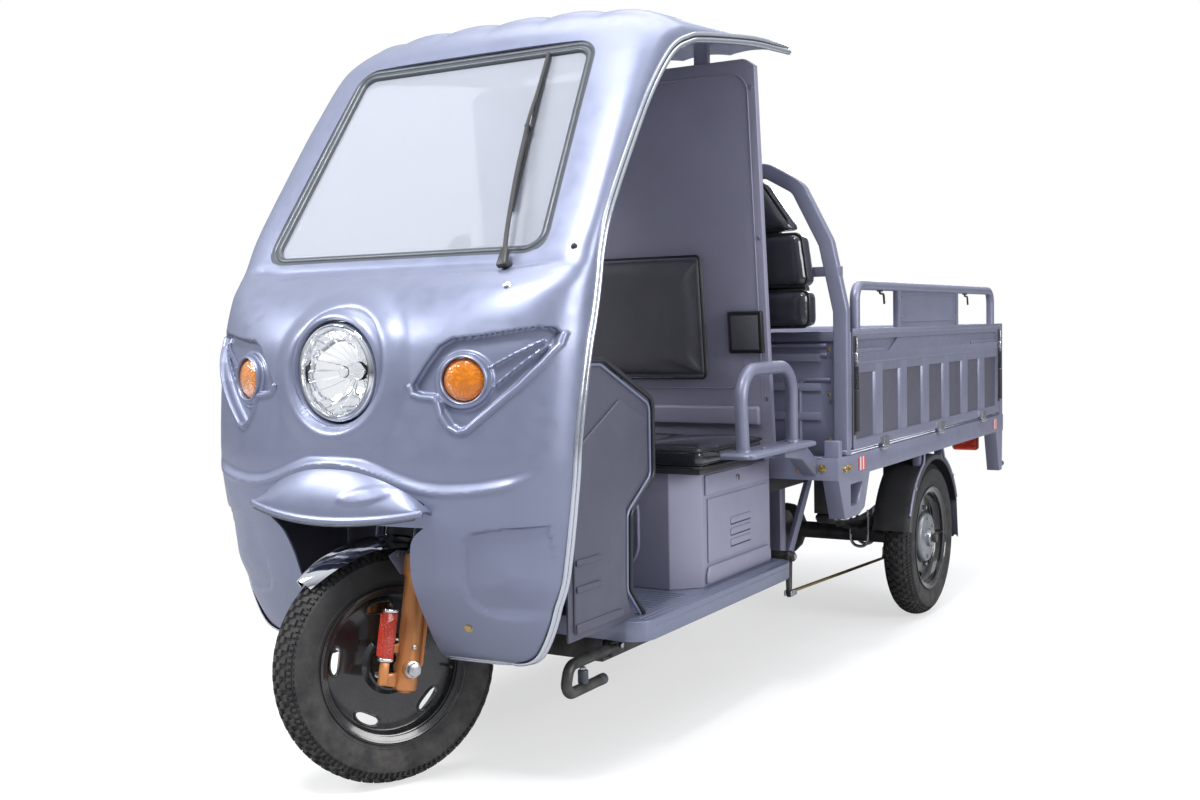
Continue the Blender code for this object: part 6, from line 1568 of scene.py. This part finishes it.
def make_gate(side, name):
    node = "side_gate_" + name
    # The gate sheet's faces between the ribs get the darker bed paint, a painted shade.
    tinted(node, [side_box(GATE_LATCH, side), side_box(GATE_HINGE, side), side_box(GATE_SHEET_PAINTED_SHADE, side)], BED_PAINT,
           0.0018, 2)
    pieces = []
    hoop = [(W - 0.013, 1.335, 0.93), (W - 0.013, 1.335, 1.0575), (W - 0.013, 2.785, 1.0575),
            (W - 0.013, 2.785, 0.93)]
    pieces.append(bar(bend_points(hoop, 0.045, 12), 0.014, 20))
    middle = [(1.6, 0.866), (2.44, 0.866), (2.36, 0.909), (1.68, 0.909)]
    pieces.append(slab(middle, W - 0.013, W - 0.0035, "x", 0.003, 3))
    for start, end in ((1.306, 1.56), (2.5, 2.832)):
        shelf = [(start, 0.868), (end, 0.868), (end + 0.02 * (start < 2), 0.882), (start, 0.882)]
        pieces.append(slab(shelf, W - 0.012, W - 0.0045, "x", 0.004, 3))
    for k in range(1, 7):
        y = 1.28 + 0.2257 * k
        land = [(W - 0.014, y - 0.042), (W - 0.0022, y - 0.029), (W - 0.0022, y + 0.029), (W - 0.014, y + 0.042)]
        pieces.append(slab(land, 0.622, 0.838, "z", 0.0025, 2))
    for y in (1.28, 2.86):
        pieces.append(slab(rect((y - 0.006, y + 0.006), (0.612, 0.93)), W - 0.018, W - 0.004, "x", 0.003))
    for z, out in ((0.8425, 0.003), (0.9225, -0.0005)):
        pieces.append(bar([(W - out - 0.0015, 1.288, z), (W - out - 0.0015, 2.852, z)], 0.0026, 10))
    sign_loop = [(W - 0.0092, y, z) for y, z in rect((1.722, 2.298), (0.954, 1.036))]
    pieces.append(loop_bar(sign_loop, 0.006, 4, 0.002))
    coated(BED_PAINT, *pieces)
    for y in (1.735, 2.285):
        for z in (0.966, 1.026):
            pieces.append(coat(stud((W - 0.0095, y, z), (W - 0.0065, y, z), 0.0036, 16, 0.0008), BRIGHT_STEEL))
    for y in (1.545, 2.44):
        hook = bend_points([(W - 0.013, y, 1.046), (W - 0.013, y, 1.036), (W - 0.013, y + 0.034, 1.034),
                            (W - 0.013, y + 0.04, 1.006)], 0.009, 6)
        pieces.append(coat(bar(hook, 0.0032, 12), TRIM_BLACK))
        pieces.append(coat(block((W - 0.0195, W - 0.0065), (y - 0.01, y + 0.012), (1.0405, 1.0465), 0.0015),
                           TRIM_BLACK))
    for y in (1.291, 2.849):
        coil = []
        winds, steps = 13, 14
        for k in range(winds * steps + 1):
            a = 2 * math.pi * k / steps
            coil.append((W + 0.0062 + 0.0052 * math.cos(a), y + 0.0075 * math.sin(a),
                         0.772 + 0.062 * k / (winds * steps)))
        pieces.append(coat(bar(coil, 0.0018, 8), TRIM_BLACK))
        pieces.append(coat(block((W + 0.001, W + 0.0125), (y - 0.009, y + 0.009), (0.846, 0.872), 0.003, 3),
                           BRIGHT_STEEL))
        strap = [(W + 0.0065, y, 0.868), (W + 0.008, y, 0.89), (W + 0.0065, y, 0.912)]
        pieces.append(coat(bar(smooth_path(strap, 6), 0.0032, 10), BRIGHT_STEEL))
    assemble(node + "_fittings", pieces, SHIFT @ mirror(side), node, "body_paint")


def make_tailgate():
    low, high = (-0.56, 2.921, 0.58), (0.56, 2.96, 0.627)
    tinted("tailgate", [(BRIGHT_STEEL, low, high)], BED_PAINT, 0.0018, 2)
    half = 0.53
    pieces = [slab([(-0.36, 0.866), (0.36, 0.866), (0.3, 0.909), (-0.3, 0.909)], 2.9075, 2.9165, "y", 0.003, 3)]
    for z in (0.8425, 0.9225):
        pieces.append(bar([(-half + 0.01, 2.9185, z), (half - 0.01, 2.9185, z)], 0.0026, 10))
    for x in (-0.44, 0.44):
        pieces.append(slab(rect((x - 0.09, x + 0.07), (0.868, 0.882)), 2.9085, 2.9155, "y", 0.003, 3))
    coated(BED_PAINT, *pieces)
    for side in (1, -1):
        x = side * (half - 0.012)
        pieces.append(coat(block((x - 0.01, x + 0.01), (2.9195, 2.93), (0.78, 0.9), 0.003, 3), PLASTIC))
        pieces.append(coat(stud((x, 2.928, 0.86), (x, 2.934, 0.86), 0.0075, 24, 0.001), BRIGHT_STEEL))
    assemble("tailgate_fittings", pieces, SHIFT, "tailgate", "body_paint")


def rounded_section(half_wide, half_high, corner, steps=4):
    points = []
    for qx, qy, start in ((1, 1, 0), (-1, 1, 90), (-1, -1, 180), (1, -1, 270)):
        for k in range(steps + 1):
            a = math.radians(start + 90 * k / steps)
            points.append((qx * (half_wide - corner) + corner * math.cos(a),
                           qy * (half_high - corner) + corner * math.sin(a)))
    return points


def make_headboard():
    dress("headboard", BED_PAINT, 0.002, 2)
    foot = 0.56
    outer = [(foot, 0.596), (foot, 0.985), (foot - 0.04, 1.17), (foot - 0.12, 1.325), (foot - 0.21, 1.376)]
    path = [(x, 1.25, z) for x, z in outer] + [(-x, 1.25, z) for x, z in reversed(outer)]
    path = bend_points(path, 0.055, 8)
    hoop = sweep(path, [(0, -1, 0)] * len(path), rounded_section(0.0205, 0.0145, 0.005))
    pieces = [hoop]
    for z in (0.893, 0.868):
        pieces.append(bar([(-0.52, 1.244, z), (0.52, 1.244, z)], 0.006, 14))
    for side in (1, -1):
        ledge = bend_points([(side * 0.44, 1.2445, 0.622), (side * 0.44, 1.2445, 0.8), (side * 0.53, 1.2445, 0.8)],
                            0.02, 6)
        pieces.append(bar(ledge, 0.0055, 14))
        pieces.append(block((side * 0.528, side * 0.578), (1.2315, 1.268), (0.5965, 0.61), 0.003, 2))
    coated(BED_PAINT, *pieces)
    for side in (1, -1):
        for z in (0.64, 0.76, 0.88):
            pieces.append(coat(stud((side * 0.53, 1.2325, z), (side * 0.53, 1.229, z), 0.0052, 20, 0.001), BRASS))
    assemble("headboard_fittings", pieces, SHIFT, "chassis", "body_paint")


# The headboard's cushion: (half width above, z above, half width below, z below, number of pleats)
CUSHIONS = ((0.372, 1.34, 0.468, 1.203, 0), (0.486, 1.193, 0.506, 1.053, 4), (0.506, 1.042, 0.508, 0.944, 0))


def make_headboard_cushion():
    pieces = []
    for upper, top, lower, foot, pleats in CUSHIONS:
        outline = [(-upper, top), (upper, top), (lower, foot), (-lower, foot)]
        pad = slab(outline, 1.136, 1.216, "y", 0.02, 4)
        lines = [foot + (top - foot) * (k + 1) / (pleats + 1) for k in range(pleats)]
        columns = (-0.16, 0.16) if pleats else ()

        def held(place, lines=lines, columns=columns, top=top, foot=foot):
            if place[1] > 1.205:
                return 1.0
            if place[1] < 1.15:
                if near(place[2], lines, 0.004):
                    return 1.0
                if near(place[0], columns, 0.004):
                    return 0.9
                ripple = math.sin(place[0] * 47 + place[2] * 31) * math.sin(place[0] * 19 - place[2] * 83)
                return 0.5 if ripple > 0.62 else 0.0
            return 0.0

        pad = puffed(pad, held, 0.0085, 0.016, 6.0)
        pieces.append(coat(pad, VINYL))
        pieces.append(coat(loop_bar([(x, 1.15, z) for x, z in outline], 0.02, 5, 0.0035), PIPING))
    back = slab([(-0.335, 1.326), (0.335, 1.326), (0.476, 1.05), (0.476, 0.952), (-0.476, 0.952), (-0.476, 1.05)],
                1.208, 1.2355, "y", 0.004, 3)
    pieces.append(coat(back, PLASTIC))
    made = assemble("headboard_cushion_finish", pieces, SHIFT, "chassis", "black_vinyl", "headboard_cushion")


def make_bed():
    rubber_stub = [(RUBBER, (-0.6, 2.925, 0.385), (0.6, 2.99, 0.42))]
    tinted("bed_frame", rubber_stub, BED_PAINT, 0.0025, 2)
    dress("bed_floor", BED_PAINT, 0.0008)
    pieces = []
    for side in (1, -1):
        for middle in (1.345, 2.8):
            for k in range(5):
                y = middle - 0.0275 + 0.011 * k
                strip = block((side * (W + 0.0003), side * (W + 0.001)), (y, y + 0.011), (0.546, 0.583), 0)
                pieces.append(coat(strip, STRIPE_WHITE if k % 2 else STRIPE_RED))
    assemble("side_stripes", pieces, SHIFT, "chassis", "body_paint")
    bolts = []
    for side in (1, -1):
        for x in (0.47, 0.535):
            bolts += bolt_on_washer(*((side * x, y, 0.566) for y in (1.16, 1.152, 1.158)), 0.0085, 0.012)
        for y in (1.205, 1.245):
            bolts += bolt_on_washer(*((side * x, y, 0.562) for x in (W, W + 0.007, W + 0.0018)), 0.0075, 0.0105)
    assemble("bed_bolts", coated(BRASS, *bolts), SHIFT, "chassis", "gold_paint")
    ribs = []
    for k in range(9):
        x = -0.48 + 0.12 * k
        ribs.append(block((x - 0.012, x + 0.012), (1.285, 2.85), (0.5965, 0.599), 0.001))
    for side in (1, -1):
        ribs.append(bar([(side * (W - 0.0012), 1.17, 0.5425), (side * (W - 0.0012), 2.91, 0.5425)], 0.002, 8))
        ribs.append(slab([(1.172, 0.64), (1.196, 0.64), (1.196, 0.536), (1.172, 0.536)], side * 0.536,
                         side * 0.579, "x", 0.003, 3))
    ribs.append(block((-0.535, 0.535), (1.158, 1.1625), (0.5925, 0.5965), 0.001))
    assemble("bed_ribs", coated(BED_PAINT, *ribs), SHIFT, "chassis", "body_paint")
    for _, name in SIDES:
        dress("tail_lamp_" + name, RED, 0.004, 3)


def make_hip_hoop(side, name):
    x, low, near_y, far_y = 0.5, 0.645, 0.72, 1.04
    path = [(x, near_y + 0.015, low), (x, near_y, low + 0.2), (x, far_y, low + 0.2), (x, far_y, low)]
    hoop = bar(bend_points(path, 0.075, 14), 0.0165, 24)
    foot = block((x - 0.04, x + 0.045), (near_y - 0.03, far_y + 0.045), (low - 0.008, low + 0.004), 0.005, 3)
    lip = bar(bend_points([(x - 0.038, near_y - 0.028, low - 0.004), (x + 0.043, near_y - 0.028, low - 0.004),
                           (x + 0.043, far_y + 0.043, low - 0.004)], 0.02, 6), 0.0068, 14)
    arm = slab([(far_y - 0.09, low - 0.002), (far_y + 0.035, low - 0.002), (1.1597, 0.594), (1.1597, 0.544),
                (far_y + 0.02, low - 0.045), (far_y - 0.09, low - 0.03)], x - 0.02, x + 0.02, "x", 0.004, 3)
    welds = [lathe([(0.0163, -0.001), (0.0205, 0.001), (0.0198, 0.005), (0.0163, 0.0065)], "z", 28, 40, closed=True)
             for _ in range(2)]
    placed(welds[0], Matrix.Translation((x, near_y + 0.0148, low + 0.003)))
    placed(welds[1], Matrix.Translation((x, far_y, low + 0.003)))
    pieces = coated(BED_PAINT, hoop, foot, lip, arm, *welds)
    for y in (near_y + 0.09, far_y - 0.06):
        pieces.append(bolt((x + 0.022, y, low + 0.0035), (x + 0.022, y, low + 0.01), 0.007))
    assemble("hip_hoop_" + name + "_finish", pieces, SHIFT @ mirror(side), "chassis", "body_paint",
             "hip_hoop_" + name)


for side_sign, side_name in SIDES:
    make_gate(side_sign, side_name)
    make_hip_hoop(side_sign, side_name)
make_tailgate()
make_headboard()
make_headboard_cushion()
make_bed()


# Mudguards, brake linkage, steps and frame

def make_mudguard(side, name):
    section = [(-0.066, 0.256), (-0.0655, 0.267), (-0.062, 0.27), (-0.03, 0.2718), (0.0, 0.2722), (0.03, 0.2718),
               (0.05, 0.27), (0.0535, 0.267), (0.054, 0.256)]
    steps = 60
    points = np.zeros((steps + 1, len(section), 3))
    for i in range(steps + 1):
        a = math.radians(-78 + 148 * i / steps)
        for k, (x, r) in enumerate(section):
            points[i, k] = (x, r * math.sin(a), r * math.cos(a))
    guard = coat(sheet_of(grid(points, smooth=40), 0.0028), PLASTIC)
    teeth = [(0.052 - 0.116 * k / 12, -0.04 + (0.009 if k % 2 else 0.0)) for k in range(13)]
    flap = slab([(-0.064, 0.094), (0.052, 0.094), *teeth], 0.2555, 0.259, "y", 0.0008)
    hinge = Matrix.Translation((0, 0.2555, 0.094))
    lean = hinge @ Matrix.Rotation(math.radians(8), 4, "X") @ hinge.inverted()
    placed(flap, lean)
    ribs = [placed(bar([(x, 0.26, 0.08), (x, 0.26, -0.02)], 0.002, 8), lean)
            for x in (-0.045, -0.022, 0.0, 0.022, 0.036)]
    pieces = [guard, *coated(RUBBER, flap, *ribs)]
    for sign in (1, -1):
        arc = [(0.0515, sign * 0.2755 * math.sin(math.radians(a)), 0.2755 * math.cos(math.radians(a)))
               for a in range(68, 22, -4)]
        arc.append((0.0505, sign * 0.1, 0.2835))
        pieces.append(coat(bar(arc, 0.0042, 12), BED_PAINT))
        post = block((0.019, 0.044), (sign * 0.115 - 0.008, sign * 0.115 + 0.008), (0.244, 0.2835), 0.002, 2)
        pieces.append(coat(post, BED_PAINT))
        pieces.append(bolt((0.0535, sign * 0.205, 0.183), (0.0575, sign * 0.205, 0.183), 0.006, 0.0008))
    crown = ((-0.058, 0.2702), (-0.03, 0.2726), (0.0, 0.2726), (0.03, 0.2726), (0.047, 0.2702))
    for a in (-60, -20, 20, 55):
        t = math.radians(a)
        ridge = [(x, radius * math.sin(t), radius * math.cos(t)) for x, radius in crown]
        pieces.append(coat(bar(ridge, 0.0022, 8), PLASTIC))
    assemble("mudguard_" + name + "_finish", pieces, SHIFT @ mirror(side) @ REAR_HUB, "chassis", "black_plastic",
             "mudguard_" + name)


def make_linkage():
    x, y, top, foot = 0.4119, 1.22, 0.312, 0.208
    lever = slab([(y - 0.015, top + 0.004), (y - 0.009, top + 0.015), (y + 0.009, top + 0.015),
                  (y + 0.015, top + 0.004), (y + 0.008, foot), (y + 0.004, foot - 0.01), (y - 0.004, foot - 0.01),
                  (y - 0.008, foot)], x - 0.006, x + 0.006, "x", 0.002)
    pieces = [coat(lever, STEEL), coat(stud((0.3503, y, top), (x + 0.016, y, top), 0.0138, 32, 0.001), STEEL),
              bolt((x + 0.016, y, top), (x + 0.021, y, top), 0.009),
              coat(stud((x - 0.013, y, foot), (x + 0.013, y, foot), 0.007, 24, 0.001), BRIGHT_STEEL)]
    pull = bend_points([(x, y + 0.012, foot + 0.003), (x, 2.022, 0.177), (x, 2.022, 0.22), (0.4584, 2.022, 0.22)],
                       0.014, 6)
    pieces.append(coat(bar(pull, 0.0046, 14), BRASS))
    for side in (-1, 1):
        fork = block((x + side * 0.009 - 0.002, x + side * 0.009 + 0.002), (y - 0.009, y + 0.03),
                     (foot - 0.007, foot + 0.009), 0.0015)
        pieces.append(coat(fork, BRIGHT_STEEL))
    assemble("parking_brake_linkage_finish", pieces, SHIFT, "chassis", "dark_steel", "parking_brake_linkage")


STEP_X = 0.3633           # the step tubes' distance from the middle


def make_step(side, name):
    x, y, low = STEP_X, 0.335, 0.2197
    path = bend_points([(x, y, low + 0.03), (x, y - 0.185, low + 0.03), (x, y - 0.205, low - 0.03),
                        (x, y - 0.045, low - 0.03)], 0.028, 10)
    pieces = [coat(bar(path, 0.012, 22), STEEL)]
    lug_block = block((0.3503, 0.3703), (y - 0.02, y + 0.04), (low + 0.01, low + 0.046), 0.003)
    pieces.append(coat(lug_block, STEEL))
    cap = stud((x, y - 0.066, low - 0.03), (x, y - 0.0435, low - 0.03), 0.0124, 32, 0.002)
    pieces.append(coat(cap, RUBBER))
    pieces.append(bolt((0.3705, y + 0.02, low + 0.03), (0.376, y + 0.02, low + 0.03), 0.0075))
    assemble("step_tube_" + name + "_finish", pieces, SHIFT @ mirror(side), "chassis", "dark_steel",
             "step_tube_" + name)


def make_frame():
    posts = [(BED_PAINT, (side * 0.33 - 0.04, 1.306, 0.21), (side * 0.33 + 0.04, 1.56, 0.53)) for side in (1, -1)]
    tinted("chassis_frame", posts, STEEL, 0.0025, 2)
    dress("rear_axle", STEEL, 0.002, 2, 40)
    dress("drive_motor", STEEL, 0.003, 3, 40)
    for _, name in SIDES:
        dress("leaf_spring_" + name, STEEL, 0.001)
    dress("fork_yoke", STEEL, 0.002)
    dress("battery_pack", PLASTIC, 0.006, 3)
    pieces = []
    for side in (1, -1):
        for y in (WHEELBASE - 0.03, WHEELBASE + 0.03):
            loop = [(side * 0.3, y, 0.333), (side * 0.3, y, 0.21), (side * 0.36, y, 0.21), (side * 0.36, y, 0.333)]
            pieces.append(coat(bar(bend_points(loop, 0.028, 8), 0.0052, 12), BRIGHT_STEEL))
        for y in (1.722, 2.382):
            pieces.append(bolt((side * 0.2955, y, 0.345), (side * 0.3665, y, 0.345), 0.008))
    fin_profile = [(0.0775, -0.003), (0.0835, -0.0022), (0.0835, 0.0022), (0.0775, 0.003)]
    for k in range(9):
        fin = coat(lathe(fin_profile, "x", 48, 35, True), STEEL)
        pieces.append(placed(fin, Matrix.Translation((0.02 - 0.022 * k, 1.877, 0.26))))
    assemble("underside_fittings", pieces, SHIFT, "chassis", "dark_steel")


# Small fixings on the shell: (place, way out, radius, height, finish)
FIXINGS = (((0.343, -0.016, 1.04), (0.1, -0.86, 0.5), 0.0062, 0.0085, BRIGHT_STEEL),
           ((0.44, 0.083, 1.116), (0.72, -0.62, 0.3), 0.0055, 0.005, TRIM_BLACK),
           ((0.246, -0.037, 0.359), (0.24, -0.96, -0.1), 0.0068, 0.0065, BRASS))


def make_fixings():
    pieces = []
    for place, way, radius, height, finish_of in FIXINGS:
        foot, out = Vector(place), Vector(way).normalized()
        pieces += coated(finish_of, stud(foot - out * 0.006, foot + out * height, radius, 24, 0.0015),
                         stud(foot - out * 0.006, foot + out * height * 0.4, radius * 1.5, 28, 0.0008))
    for side in (1, -1):
        x = side * STEP_X
        pieces.append(coat(stud((x, 0.205, 0.199), (x, 0.205, 0.229), 0.0115, 28, 0.003), RUBBER))
        pieces.append(bolt((x, 0.205, 0.229), (x, 0.205, 0.235), 0.007))
    assemble("small_fixings", pieces, SHIFT, "chassis", "chrome")


for side_sign, side_name in SIDES:
    make_mudguard(side_sign, side_name)
    make_step(side_sign, side_name)
make_linkage()
make_frame()
make_fixings()


make_stage()
make_camera()
